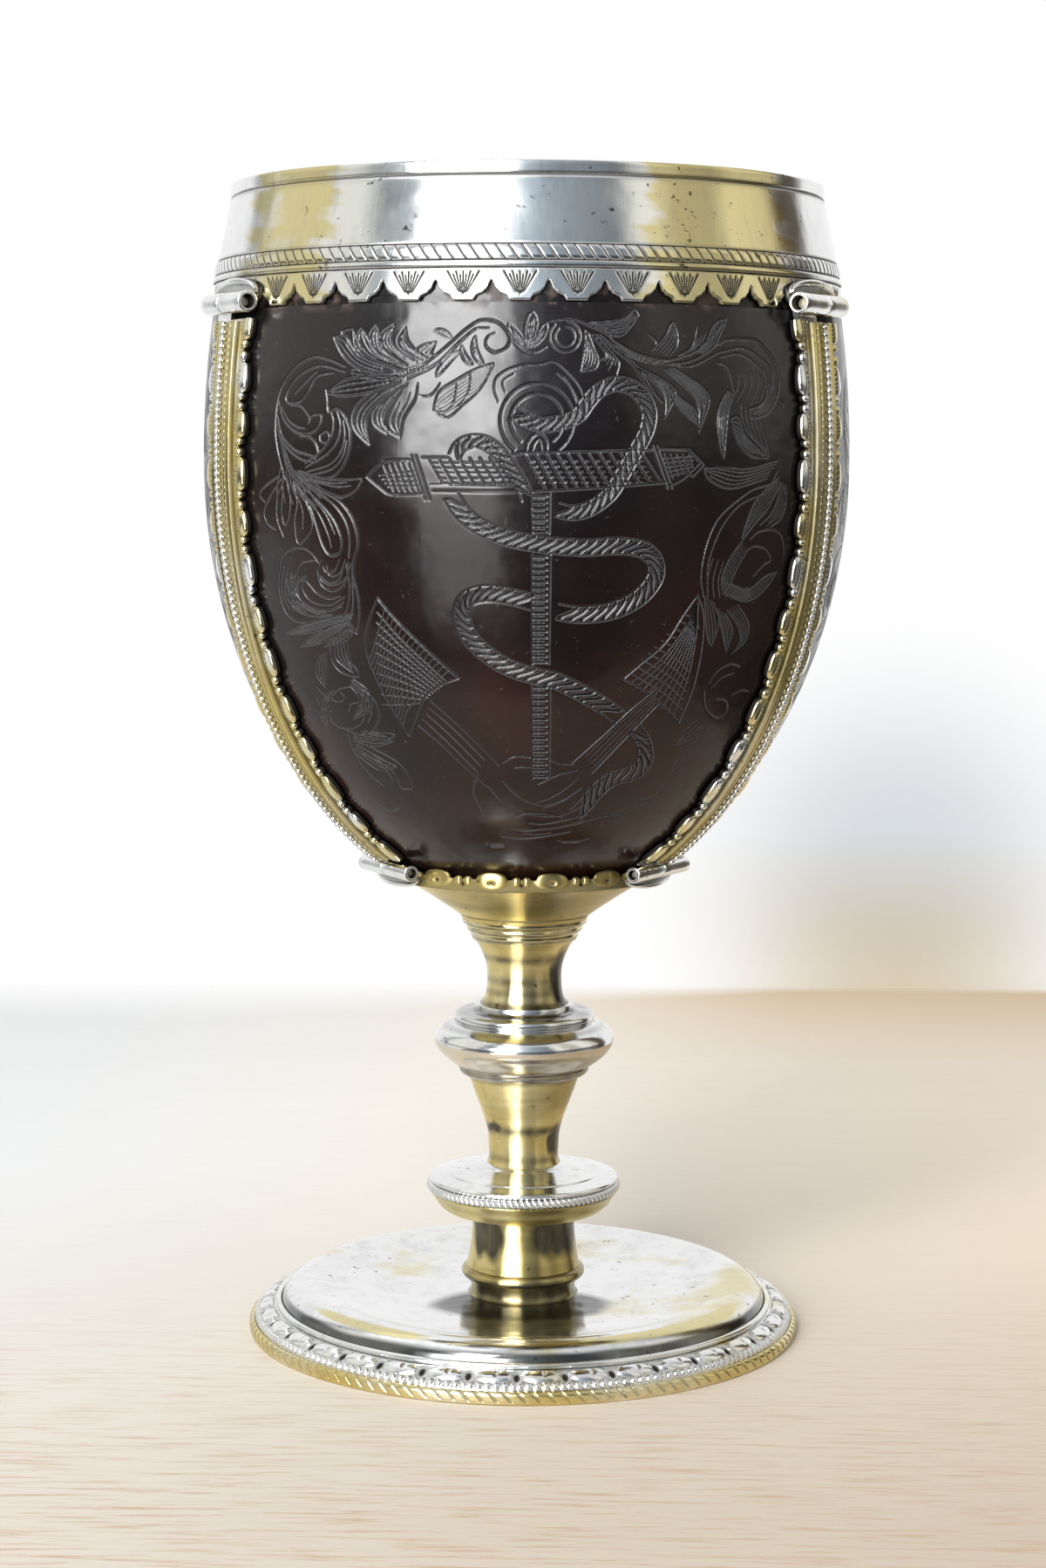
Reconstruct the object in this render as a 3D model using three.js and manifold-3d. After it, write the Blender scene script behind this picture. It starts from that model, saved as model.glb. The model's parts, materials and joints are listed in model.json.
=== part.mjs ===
// Mounted coconut cup: an engraved coconut shell held in a silver mount by three hinged straps.
// Millimetres, +Z up. The origin is the centre of the foot on the table, and the front faces -Y.
import * as THREE from 'three';
import { mergeVertices } from 'three/addons/utils/BufferGeometryUtils.js';
import Module from 'manifold-3d';

const wasm = await Module();
wasm.setup();
const { Manifold, Mesh: ManifoldMesh } = wasm;

// Clearances, and the overlap of forms that are joined into one solid
const seatGap = 0.3;
const solderGap = 0.05;
const pinClearance = 0.15;
const joinOverlap = 0.2;

// Foot
const footRadius = 41.5;
const footEdgeWire = 0.8;
const footEdgeHeight = 1.9;
const footRestWidth = 1.1;
const footBorderTop = 3.9;
const footBorderInnerRadius = 35.4;
const footSheet = 0.9;
const footWireRadius = 0.45;
const domeEdgeRadius = 36.6;
const domeRollRadius = 32.5;
const domeRollRise = 3.2;
const domeCentreRise = 1.0;

// Stem, from the foot up: each section's height, and its radii
const stemBaseHeight = 2.5;
const stemBaseRadius = 8.2;
const drumRingHeight = 1.8;
const drumRingRadius = 9.3;
const drumHeight = 8.1;
const drumRadius = 7.7;
const flangeRadius = 14.75;
const flangeLowerHeight = 3.6;
const flangeWireHeight = 1.4;
const flangeUpperHeight = 2.7;
const flangeSetback = 0.2;
const coneHeight = 13.6;
const coneFootRadius = 5.3;
const coneTopRadius = 8.4;
const knopRadius = 13.5;
const knopLowerHeight = 5.3;
const knopUpperHeight = 5.5;
const neckHeight = 9.8;
const neckRadius = 5.2;
const neckRingHeight = 3.1;
const neckRingRadius = 9.4;

// Calyx, the small dish that takes the foot of the nut
const calyxHeight = 8.2;
const calyxRadius = 20.4;
const calyxRimWidth = 1.4;
const calyxSheet = 0.9;
const calyxBorderSheet = 0.6;
const calyxBorderHeight = 2.7;
const calyxBorderDrop = 1.6;
const calyxLobes = 15;
const calyxLobeDepth = 1.1;

// Nut: an ellipse below its widest level and a longer one above it
const nutRadius = 47.5;
const nutLowerDepth = 64.6;
const nutUpperDepth = 86;
const nutMouthRise = 27.5;
const nutWall = 3.4;
const rebateDepth = 1.1;
const rebateHeight = 6.4;

// Rim mount
const collarSheet = 0.85;
const collarHeight = 10.5;
const collarDrawIn = 1.95;
const lipHeight = 2.0;
const skirtHeight = 4.4;
const mouldingHeight = 1.1;
const ropeBandHeight = 2.05;
const skirtTongues = 38;
const tongueNotch = 2.3;
const tongueLift = 0.3;
const sleeveSheet = 0.6;
const sleeveLength = 17.5;
const seatFlange = 0.9;

// Straps and their hinges
const strapCount = 3;
const strapPlate = 0.6;
const strapTopHalfWidth = 5.9;
const strapFootHalfWidth = 4.6;
const strapLobeReach = 0.8;
const strapPitch = 6.6;
const mouldingHalfWidth = 2.9;
const mouldingFloor = 0.2;
const mouldingRise = 0.65;
const beadWireRadius = 0.45;
const beadWireMargin = 0.25;
const upperBarrelRadius = 1.5;
const upperBarrelLength = 13.2;
const upperBarrelRise = 0.76;
const upperLeafRise = 2.2;
const lowerBarrelRadius = 1.2;
const lowerBarrelLength = 15.5;
const lowerBarrelRise = 0.7;
const lowerLeafLength = 12.4;
const lowerLeafRise = 1.7;
const barrelWall = 0.55;
const hingeLeaf = 0.6;
const pinRecess = 0.6;
const seamGap = 0.3;
const trimMargin = 0.1;

// Facets
const bowlFacets = 48;
const stemFacets = 24;
const calyxFacets = 36;
const barrelFacets = 12;
const nutFacetsBelow = 9;
const nutFacetsAbove = 2;
const leafSteps = 8;
const skirtSteps = 3;
const lobeSteps = 4;

// Levels that follow from the sizes above
const plateauZ = footBorderTop + domeCentreRise;
const stemBaseTop = plateauZ + stemBaseHeight;
const drumRingTop = stemBaseTop + drumRingHeight;
const drumTop = drumRingTop + drumHeight;
const flangeLowerTop = drumTop + flangeLowerHeight;
const flangeWireTop = flangeLowerTop + flangeWireHeight;
const flangeTop = flangeWireTop + flangeUpperHeight;
const coneTop = flangeTop + coneHeight;
const knopMiddle = coneTop + knopLowerHeight;
const knopTop = knopMiddle + knopUpperHeight;
const neckTop = knopTop + neckHeight;
const calyxFoot = neckTop + neckRingHeight;
const calyxRim = calyxFoot + calyxHeight;
const seatRadius = calyxRadius - calyxRimWidth;
const nutMiddle = calyxRim + seatGap + nutLowerDepth * Math.sqrt(1 - (seatRadius / nutRadius) ** 2);
const nutMouth = nutMiddle + nutMouthRise;
const rebateZ = nutMouth - rebateHeight;
const mouthRadius = nutRadius * Math.sqrt(1 - (nutMouthRise / nutUpperDepth) ** 2);
const rebateRadius = nutRadius * Math.sqrt(1 - ((rebateZ - nutMiddle) / nutUpperDepth) ** 2) - rebateDepth;
const collarLedge = nutMouth + seatFlange;
const lipFoot = nutMouth + collarHeight;
const skirtInner = rebateRadius + seatGap;
const skirtRadius = skirtInner + collarSheet;
const skirtFoot = rebateZ + 0.5 * seatGap;
const skirtTop = skirtFoot + skirtHeight;
const mouldingTop = skirtTop + mouldingHeight;
const ropeBandTop = mouldingTop + ropeBandHeight;
const bandRadius = skirtRadius - collarSheet;
const lipRadius = bandRadius - collarDrawIn;
const sleeveOuter = mouthRadius - nutWall - seatGap;

// Colours
const silver = new THREE.MeshStandardMaterial({ color: 0xc9c4b4, metalness: 1, roughness: 0.2 });
const gilt = new THREE.MeshStandardMaterial({ color: 0xc8b276, metalness: 1, roughness: 0.25 });
const shell = new THREE.MeshStandardMaterial({ color: 0x2a201d, metalness: 0, roughness: 0.3 });
const wire = new THREE.MeshStandardMaterial({ color: 0x8f8a7c, metalness: 1, roughness: 0.35 });

// A solid of revolution about Z, from [radius, height] points that run up the outside
function turned(points, facets) {
  const profile = points.map(([r, z]) => new THREE.Vector2(r, z));
  if (profile[0].x > 0) profile.push(profile[0].clone());
  return new THREE.LatheGeometry(profile, facets).rotateX(Math.PI / 2);
}

// A ring of round section about Z
function turnedWire(ringRadius, height, radius, facets, sides = 6) {
  const points = [];
  for (let i = 0; i < sides; i += 1) {
    const angle = (i / sides) * 2 * Math.PI - Math.PI / 2;
    points.push([ringRadius + radius * Math.cos(angle), height + radius * Math.sin(angle)]);
  }
  return turned(points, facets);
}

// A closed skin through rows of points, either joined end to end or capped at both ends
function lofted(rows, isRing) {
  const across = rows[0].length;
  const positions = rows.flat().flatMap((p) => [p.x, p.y, p.z]);
  const indices = [];
  const spans = isRing ? rows.length : rows.length - 1;
  for (let i = 0; i < spans; i += 1) {
    const next = (i + 1) % rows.length;
    for (let j = 0; j < across; j += 1) {
      const side = (j + 1) % across;
      const a = i * across + j;
      const b = i * across + side;
      const c = next * across + side;
      const d = next * across + j;
      indices.push(a, b, c, a, c, d);
    }
  }
  if (!isRing) {
    const last = (rows.length - 1) * across;
    for (let j = 1; j < across - 1; j += 1) {
      indices.push(0, j + 1, j);
      indices.push(last, last + j, last + j + 1);
    }
  }
  const geometry = new THREE.BufferGeometry();
  geometry.setAttribute('position', new THREE.Float32BufferAttribute(positions, 3));
  geometry.setIndex(enclosedVolume(positions, indices) < 0 ? indices.reverse() : indices);
  geometry.computeVertexNormals();
  return geometry;
}

function enclosedVolume(positions, indices) {
  const corner = (i) => new THREE.Vector3().fromArray(positions, 3 * i);
  let six = 0;
  for (let i = 0; i < indices.length; i += 3) {
    six += corner(indices[i]).dot(corner(indices[i + 1]).cross(corner(indices[i + 2])));
  }
  return six / 6;
}

function solidFrom(geometry) {
  const bare = geometry.clone();
  bare.deleteAttribute('normal');
  bare.deleteAttribute('uv');
  const merged = mergeVertices(bare, 1e-4);
  return new Manifold(new ManifoldMesh({
    numProp: 3,
    vertProperties: new Float32Array(merged.attributes.position.array),
    triVerts: new Uint32Array(merged.index.array),
  }));
}

function geometryFrom(solid) {
  const { vertProperties, triVerts } = solid.getMesh();
  const geometry = new THREE.BufferGeometry();
  geometry.setAttribute('position', new THREE.BufferAttribute(new Float32Array(vertProperties), 3));
  geometry.setIndex(new THREE.BufferAttribute(new Uint32Array(triVerts), 1));
  geometry.computeVertexNormals();
  return geometry;
}

const cup = new THREE.Group();

function addPiece(name, geometry, material, parent = cup) {
  const mesh = new THREE.Mesh(geometry, material);
  mesh.name = name;
  parent.add(mesh);
  return mesh;
}

// The nut's outer surface at an angle of its ellipse, 0 at its widest level, moved out by lift
function nutPoint(angle, lift = 0) {
  const depth = angle < 0 ? nutLowerDepth : nutUpperDepth;
  const r = nutRadius * Math.cos(angle);
  const z = nutMiddle + depth * Math.sin(angle);
  const normal = new THREE.Vector2(Math.cos(angle) / nutRadius, Math.sin(angle) / depth).normalize();
  return new THREE.Vector2(r + lift * normal.x, z + lift * normal.y);
}

function evenSteps(from, to, count) {
  return Array.from({ length: count + 1 }, (_, i) => from + ((to - from) * i) / count);
}

function nutAngleAt(z) {
  const depth = z < nutMiddle ? nutLowerDepth : nutUpperDepth;
  return Math.asin((z - nutMiddle) / depth);
}

// Foot
function buildFoot() {
  const borderOuter = footRadius - footEdgeWire;
  const restInner = borderOuter - footRestWidth;
  const borderUnder = footBorderTop - footSheet;
  addPiece('foot_border', turned([
    [restInner, 0],
    [borderOuter, 0],
    [borderOuter, footEdgeHeight],
    [domeEdgeRadius + 2 * footWireRadius, footBorderTop],
    [footBorderInnerRadius, footBorderTop],
    [footBorderInnerRadius, borderUnder],
    [domeEdgeRadius, borderUnder],
    [restInner, footEdgeHeight - 0.7 * footSheet],
  ], bowlFacets), silver);
  const wireRadius = footEdgeWire / 2;
  addPiece('foot_edge_wire', turned([
    [borderOuter + solderGap, solderGap],
    [borderOuter + wireRadius, solderGap],
    [footRadius, footEdgeHeight * 0.3],
    [footRadius, footEdgeHeight * 0.7],
    [borderOuter + wireRadius, footEdgeHeight],
    [borderOuter + solderGap, footEdgeHeight],
  ], bowlFacets), gilt);
  const wireSeat = footBorderTop + footWireRadius;
  const innerWireRing = domeEdgeRadius + solderGap + footWireRadius;
  addPiece('foot_inner_wire', turnedWire(innerWireRing, wireSeat, footWireRadius, bowlFacets), silver);
  const rollTop = footBorderTop + domeRollRise;
  const dishMiddle = plateauZ + 0.25 * (rollTop - plateauZ);
  addPiece('foot_dome', turned([
    [0, plateauZ - footSheet],
    [0.72 * domeRollRadius, dishMiddle - footSheet],
    [domeRollRadius, rollTop - footSheet],
    [domeEdgeRadius - footSheet, footBorderTop],
    [domeEdgeRadius, footBorderTop],
    [domeEdgeRadius - 0.15 * domeRollRise, footBorderTop + 0.45 * domeRollRise],
    [domeRollRadius + 0.55 * (domeEdgeRadius - domeRollRadius), rollTop - 0.2 * domeRollRise],
    [domeRollRadius, rollTop],
    [0.72 * domeRollRadius, dishMiddle],
    [0.4 * domeRollRadius, plateauZ],
    [0, plateauZ],
  ], bowlFacets), silver);
}

// One turned section of the stem, from [share of its radius, share of its height] points
function addSection(name, foot, height, radius, shares, material) {
  const outline = shares.map(([r, z]) => [r * radius, foot + z * height]);
  addPiece(name, turned([[0, foot], ...outline, [0, foot + height]], stemFacets), material);
}

const stemBaseShares = [[1, 0], [0.96, 0.3], [1.03, 1]];
const drumRingShares = [[0.92, 0], [1, 0.35], [1, 0.65], [0.92, 1]];
const drumShares = [[1.11, 0], [1.05, 0.3], [1, 0.65], [1.01, 0.88], [1.06, 1]];
const flangeLowerShares = [[0.6, 0], [0.82, 0.3], [0.92, 0.7], [0.97, 1]];
const knopLowerShares = [[0.67, 0], [0.88, 0.5], [0.96, 0.76], [1, 1]];
const knopUpperShares = [[1, 0], [0.92, 0.36], [0.78, 0.6], [0.72, 0.75], [0.56, 0.8], [0.52, 1]];
const neckShares = [[1.26, 0], [1.06, 0.12], [1, 0.38], [1.07, 0.64], [1.24, 0.8], [1.46, 1]];
const neckRingShares = [[0.82, 0], [0.87, 0.35], [0.97, 0.6], [1, 1]];

// Shares of the cone's flare, from its foot radius to its top radius
const coneFlareShares = [[0.05, 0], [0, 0.2], [0.1, 0.4], [0.4, 0.6], [0.7, 0.8], [1, 1]];

function buildStem() {
  addSection('stem_base', plateauZ, stemBaseHeight, stemBaseRadius, stemBaseShares, gilt);
  addSection('drum_base_ring', stemBaseTop, drumRingHeight, drumRingRadius, drumRingShares, gilt);
  addSection('stem_drum', drumRingTop, drumHeight, drumRadius, drumShares, gilt);
  addSection('flange_disc_lower', drumTop, flangeLowerHeight, flangeRadius, flangeLowerShares, gilt);
  const wireRadius = flangeWireHeight / 2;
  const wireRing = flangeRadius - wireRadius;
  const wireMiddle = flangeLowerTop + wireRadius;
  addPiece('flange_rope_wire', turnedWire(wireRing, wireMiddle, wireRadius, stemFacets), silver);
  const upperInner = wireRing - wireRadius - solderGap;
  addPiece('flange_disc_upper', turned([
    [0, flangeLowerTop],
    [upperInner, flangeLowerTop],
    [upperInner, flangeWireTop],
    [wireRing - flangeSetback, flangeWireTop + solderGap],
    [0.93 * flangeRadius, flangeWireTop + 0.35 * flangeUpperHeight],
    [0.75 * flangeRadius, flangeWireTop + 0.6 * flangeUpperHeight],
    [0.48 * flangeRadius, flangeWireTop + 0.8 * flangeUpperHeight],
    [coneFootRadius + seatGap, flangeTop],
    [0, flangeTop],
  ], stemFacets), silver);
  const coneFlare = (coneTopRadius - coneFootRadius) / coneTopRadius;
  const coneShares = coneFlareShares.map(([flare, z]) => [1 - coneFlare * (1 - flare), z]);
  addSection('stem_cone', flangeTop, coneHeight, coneTopRadius, coneShares, gilt);
  addSection('knop_lower', coneTop, knopLowerHeight, knopRadius, knopLowerShares, gilt);
  addSection('knop_upper', knopMiddle, knopUpperHeight, knopRadius, knopUpperShares, silver);
  addSection('stem_neck', knopTop, neckHeight, neckRadius, neckShares, gilt);
  addSection('neck_ring', neckTop, neckRingHeight, neckRingRadius, neckRingShares, silver);
}

function buildCalyx() {
  const rise = (share) => calyxFoot + share * calyxHeight;
  addPiece('calyx', turned([
    [0, calyxFoot],
    [neckRingRadius, calyxFoot],
    [0.545 * calyxRadius, rise(0.18)],
    [0.637 * calyxRadius, rise(0.35)],
    [0.73 * calyxRadius, rise(0.51)],
    [0.873 * calyxRadius, rise(0.74)],
    [calyxRadius, rise(0.88)],
    [calyxRadius, calyxRim],
    [seatRadius, calyxRim],
    [0.873 * calyxRadius - calyxSheet, rise(0.74) + 0.5 * calyxSheet],
    [0.73 * calyxRadius - calyxSheet, rise(0.51) + 0.5 * calyxSheet],
    [0.6 * neckRingRadius, calyxFoot + calyxSheet],
    [0, calyxFoot + calyxSheet],
  ], calyxFacets), gilt);
  const inner = calyxRadius + seatGap;
  const outer = inner + calyxBorderSheet;
  const borderFoot = calyxRim - calyxBorderDrop;
  const rows = [];
  for (let i = 0; i < calyxLobes * lobeSteps; i += 1) {
    const angle = ((i + 0.5) / (calyxLobes * lobeSteps)) * 2 * Math.PI - Math.PI / 2;
    const isLobe = i % lobeSteps < lobeSteps / 2;
    const top = borderFoot + calyxBorderHeight - (isLobe ? 0 : calyxLobeDepth);
    const corner = (r, z) => new THREE.Vector3(r * Math.cos(angle), r * Math.sin(angle), z);
    rows.push([corner(inner, borderFoot), corner(outer, borderFoot), corner(outer, top), corner(inner, top)]);
  }
  addPiece('calyx_border', lofted(rows, true), gilt);
  return outer;
}

function buildNut() {
  const foot = -Math.PI / 2;
  const anglesTo = (top) => [
    ...evenSteps(foot, 0, nutFacetsBelow),
    ...evenSteps(0, top, nutFacetsAbove).slice(1),
  ];
  const outside = anglesTo(nutAngleAt(rebateZ)).map((angle) => nutPoint(angle).toArray());
  const inside = anglesTo(nutAngleAt(nutMouth)).map((angle) => nutPoint(angle, -nutWall).toArray());
  outside[0][0] = 0;
  inside[0][0] = 0;
  inside[inside.length - 1][1] = nutMouth;
  const rebate = [[rebateRadius, rebateZ], [rebateRadius, nutMouth]];
  addPiece('coconut_bowl', turned([...outside, ...rebate, ...inside.reverse()], bowlFacets), shell);
}

// Collar: a plain flaring band, a rope band, a thin moulding and a skirt of cut tongues
function buildRim() {
  const rows = [];
  const count = skirtTongues * skirtSteps;
  const cuts = [tongueNotch, tongueLift, tongueLift];
  for (let i = 0; i < count; i += 1) {
    const angle = ((i + 0.5) / count) * 2 * Math.PI;
    const foot = skirtFoot + cuts[i % skirtSteps];
    const corner = (r, z) => new THREE.Vector3(r * Math.cos(angle), r * Math.sin(angle), z);
    rows.push([
      corner(skirtInner, foot),
      corner(skirtRadius, foot),
      corner(skirtRadius - 0.4 * collarSheet, skirtTop),
      corner(skirtRadius - 0.3 * collarSheet, mouldingTop),
      corner(bandRadius, ropeBandTop),
      corner(lipRadius, lipFoot),
      corner(lipRadius - collarSheet, lipFoot),
      corner(bandRadius - collarSheet, collarLedge),
      corner(skirtInner, collarLedge),
    ]);
  }
  addPiece('rim_collar', lofted(rows, true), silver);
  const lipInner = sleeveOuter - sleeveSheet;
  const lipTop = lipFoot + lipHeight;
  addPiece('lip_ring', turned([
    [lipInner, lipFoot],
    [lipRadius, lipFoot],
    [lipRadius, lipTop - 0.2 * lipHeight],
    [lipRadius - 0.2 * lipHeight, lipTop],
    [lipInner + 0.2 * lipHeight, lipTop],
    [lipInner, lipTop - 0.2 * lipHeight],
  ], bowlFacets), silver);
  addPiece('rim_seat_sleeve', turned([
    [lipInner, lipFoot - sleeveLength],
    [sleeveOuter, lipFoot - sleeveLength],
    [sleeveOuter, nutMouth],
    [skirtInner - seatGap, nutMouth],
    [skirtInner - seatGap, collarLedge],
    [sleeveOuter, collarLedge],
    [sleeveOuter, lipFoot],
    [lipInner, lipFoot],
  ], bowlFacets), silver);
}

// The strap's run along the nut, in equal lengths, between the feet of its two hinges
function strapRun(upper, lower) {
  const samples = 600;
  const poleMargin = 0.1;
  const from = nutAngleAt(upper.y);
  const to = -Math.PI / 2 + poleMargin;
  const nearest = (centre) => {
    let best = from;
    for (let i = 0; i <= samples; i += 1) {
      const angle = from + ((to - from) * i) / samples;
      if (nutPoint(angle).distanceTo(centre) < nutPoint(best).distanceTo(centre)) best = angle;
    }
    return best;
  };
  const start = nearest(upper);
  const end = nearest(lower);
  const lengths = [0];
  const angles = [start];
  for (let i = 1; i <= samples; i += 1) {
    const angle = start + ((end - start) * i) / samples;
    lengths.push(lengths[i - 1] + nutPoint(angle).distanceTo(nutPoint(angles[i - 1])));
    angles.push(angle);
  }
  const length = lengths[samples];
  const angleAt = (distance) => {
    const i = Math.min(samples - 1, Math.max(0, lengths.findIndex((value) => value >= distance) - 1));
    const share = (distance - lengths[i]) / (lengths[i + 1] - lengths[i]);
    return angles[i] + share * (angles[i + 1] - angles[i]);
  };
  return { length, angleAt };
}

// One row of strap points: sideways distances and lifts off the nut, at a distance down the run
function strapRow(run, distance, section) {
  const angle = run.angleAt(distance);
  const base = nutPoint(angle);
  return section.map(([across, lift]) => {
    const point = nutPoint(angle, lift);
    const turn = across / base.x;
    return new THREE.Vector3(point.x * Math.cos(turn), point.x * Math.sin(turn), point.y);
  });
}

function strapHalfWidth(run, distance) {
  return strapTopHalfWidth + ((strapFootHalfWidth - strapTopHalfWidth) * distance) / run.length;
}

// A hinge barrel's half, or any round bar across the strap
function crossBar(centre, radius, from, to) {
  const bar = new THREE.CylinderGeometry(radius, radius, to - from, barrelFacets);
  return solidFrom(bar.translate(centre.x, (from + to) / 2, centre.y));
}

// A leaf bent round the mount, with a half-moon edge that rises (or hangs) from its hinge
function halfMoonLeaf(radius, length, rootZ, edgeZ) {
  const endShare = 0.25;
  const rows = [];
  for (let i = 0; i <= leafSteps; i += 1) {
    const across = (i / leafSteps - 0.5) * length;
    const arch = Math.sqrt(Math.max(0, 1 - (2 * across / length) ** 2));
    const edge = rootZ + (edgeZ - rootZ) * (endShare + (1 - endShare) * arch);
    const turn = across / radius;
    const corner = (r, z) => new THREE.Vector3(r * Math.cos(turn), r * Math.sin(turn), z);
    const outer = radius + hingeLeaf;
    rows.push([corner(radius, rootZ), corner(outer, rootZ), corner(outer, edge), corner(radius, edge)]);
  }
  return solidFrom(lofted(rows, false));
}

// A tab that ties a leaf to its half of the barrel
function barrelTab(radius, barrelLength, lowZ, highZ) {
  const tabShare = 0.3;
  const from = seamGap / 2;
  const to = tabShare * barrelLength;
  const rows = [from, (from + to) / 2, to].map((across) => {
    const turn = across / radius;
    const corner = (r, z) => new THREE.Vector3(r * Math.cos(turn), r * Math.sin(turn), z);
    const outer = radius + hingeLeaf;
    return [corner(radius, lowZ), corner(outer, lowZ), corner(outer, highZ), corner(radius, highZ)];
  });
  return solidFrom(lofted(rows, false));
}

// A web from the strap's hinge foot up to the barrel's axis, which ties the two at any spacing
function barrelWeb(run, foot, centre, from, to) {
  const inward = foot > 0 ? foot - 2 * strapPlate : foot + 2 * strapPlate;
  const base = [foot, inward].map((distance) => nutPoint(run.angleAt(distance), seatGap));
  const half = base[1].clone().sub(base[0]).setLength(strapPlate);
  const outline = [base[0], base[1], centre.clone().add(half), centre.clone().sub(half)];
  const rows = [from, to].map((across) => outline.map((p) => new THREE.Vector3(p.x, across, p.y)));
  return solidFrom(lofted(rows, false));
}

function strapPlateSolid(run, startTrim, endTrim, upper, lower) {
  const periods = Math.round(run.length / strapPitch);
  const stations = 2 * periods;
  const from = startTrim;
  const to = run.length - endTrim;
  const top = seatGap + strapPlate;
  const rows = [];
  for (let i = 0; i <= stations; i += 1) {
    const distance = from + ((to - from) * i) / stations;
    const half = strapHalfWidth(run, distance) + (i % 2 ? strapLobeReach : 0);
    const inner = [[-half, seatGap], [0, seatGap], [half, seatGap]];
    const outer = [[half, top], [0, top], [-half, top]];
    rows.push(strapRow(run, distance, [...inner, ...outer]));
  }
  let plate = solidFrom(lofted(rows, false));
  const hinges = [
    [upper, upperBarrelRadius, upperBarrelLength, 0, startTrim],
    [lower, lowerBarrelRadius, lowerBarrelLength, run.length - endTrim, run.length],
  ];
  for (const [at, radius, length, near, far] of hinges) {
    const reach = strapHalfWidth(run, near);
    const section = [[-reach, seatGap], [-seamGap / 2, seatGap], [-seamGap / 2, top], [-reach, top]];
    const tabRows = [near - (near > 0 ? joinOverlap : 0), far + (near > 0 ? 0 : joinOverlap)];
    plate = plate.add(solidFrom(lofted(tabRows.map((d) => strapRow(run, d, section)), false)));
    plate = plate.add(barrelWeb(run, near > 0 ? run.length : 0, at, -reach, -seamGap / 2));
    plate = plate.add(crossBar(at, radius, -length / 2, -seamGap / 2));
    plate = plate.subtract(crossBar(at, radius - barrelWall, -length, length));
  }
  return plate;
}

function mouldingGeometry(run, startTrim, endTrim, stations) {
  const low = seatGap + strapPlate + solderGap;
  const floor = low + mouldingFloor;
  const high = floor + mouldingRise;
  const half = mouldingHalfWidth;
  const section = [
    [-half, low], [0, low], [half, low], [half, floor + 0.3 * mouldingRise], [0.65 * half, high],
    [beadWireRadius + beadWireMargin, floor], [-beadWireRadius - beadWireMargin, floor],
    [-0.65 * half, high], [-half, floor + 0.3 * mouldingRise],
  ];
  return lofted(evenRows(run, startTrim, endTrim, stations, section), false);
}

function beadWireGeometry(run, startTrim, endTrim, stations) {
  const lift = seatGap + strapPlate + 2 * solderGap + mouldingFloor + beadWireRadius;
  const sides = 6;
  const section = [];
  for (let i = 0; i < sides; i += 1) {
    const angle = ((i + 0.5) / sides) * 2 * Math.PI;
    section.push([beadWireRadius * Math.cos(angle), lift + beadWireRadius * Math.sin(angle)]);
  }
  return lofted(evenRows(run, startTrim, endTrim, stations, section), false);
}

function evenRows(run, startTrim, endTrim, stations, section) {
  const rows = [];
  for (let i = 0; i <= stations; i += 1) {
    const distance = startTrim + ((run.length - startTrim - endTrim) * i) / stations;
    rows.push(strapRow(run, distance, section));
  }
  return rows;
}

// The length that a strap stops short of a barrel's foot, to clear the other leaf's half
function barrelTrim(run, centre, radius, distance) {
  const lift = nutPoint(run.angleAt(distance)).distanceTo(centre);
  const aside = Math.max(0, lift - seatGap - strapPlate);
  return Math.sqrt((radius + seatGap) ** 2 - Math.min(aside, radius) ** 2) + trimMargin;
}

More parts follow.
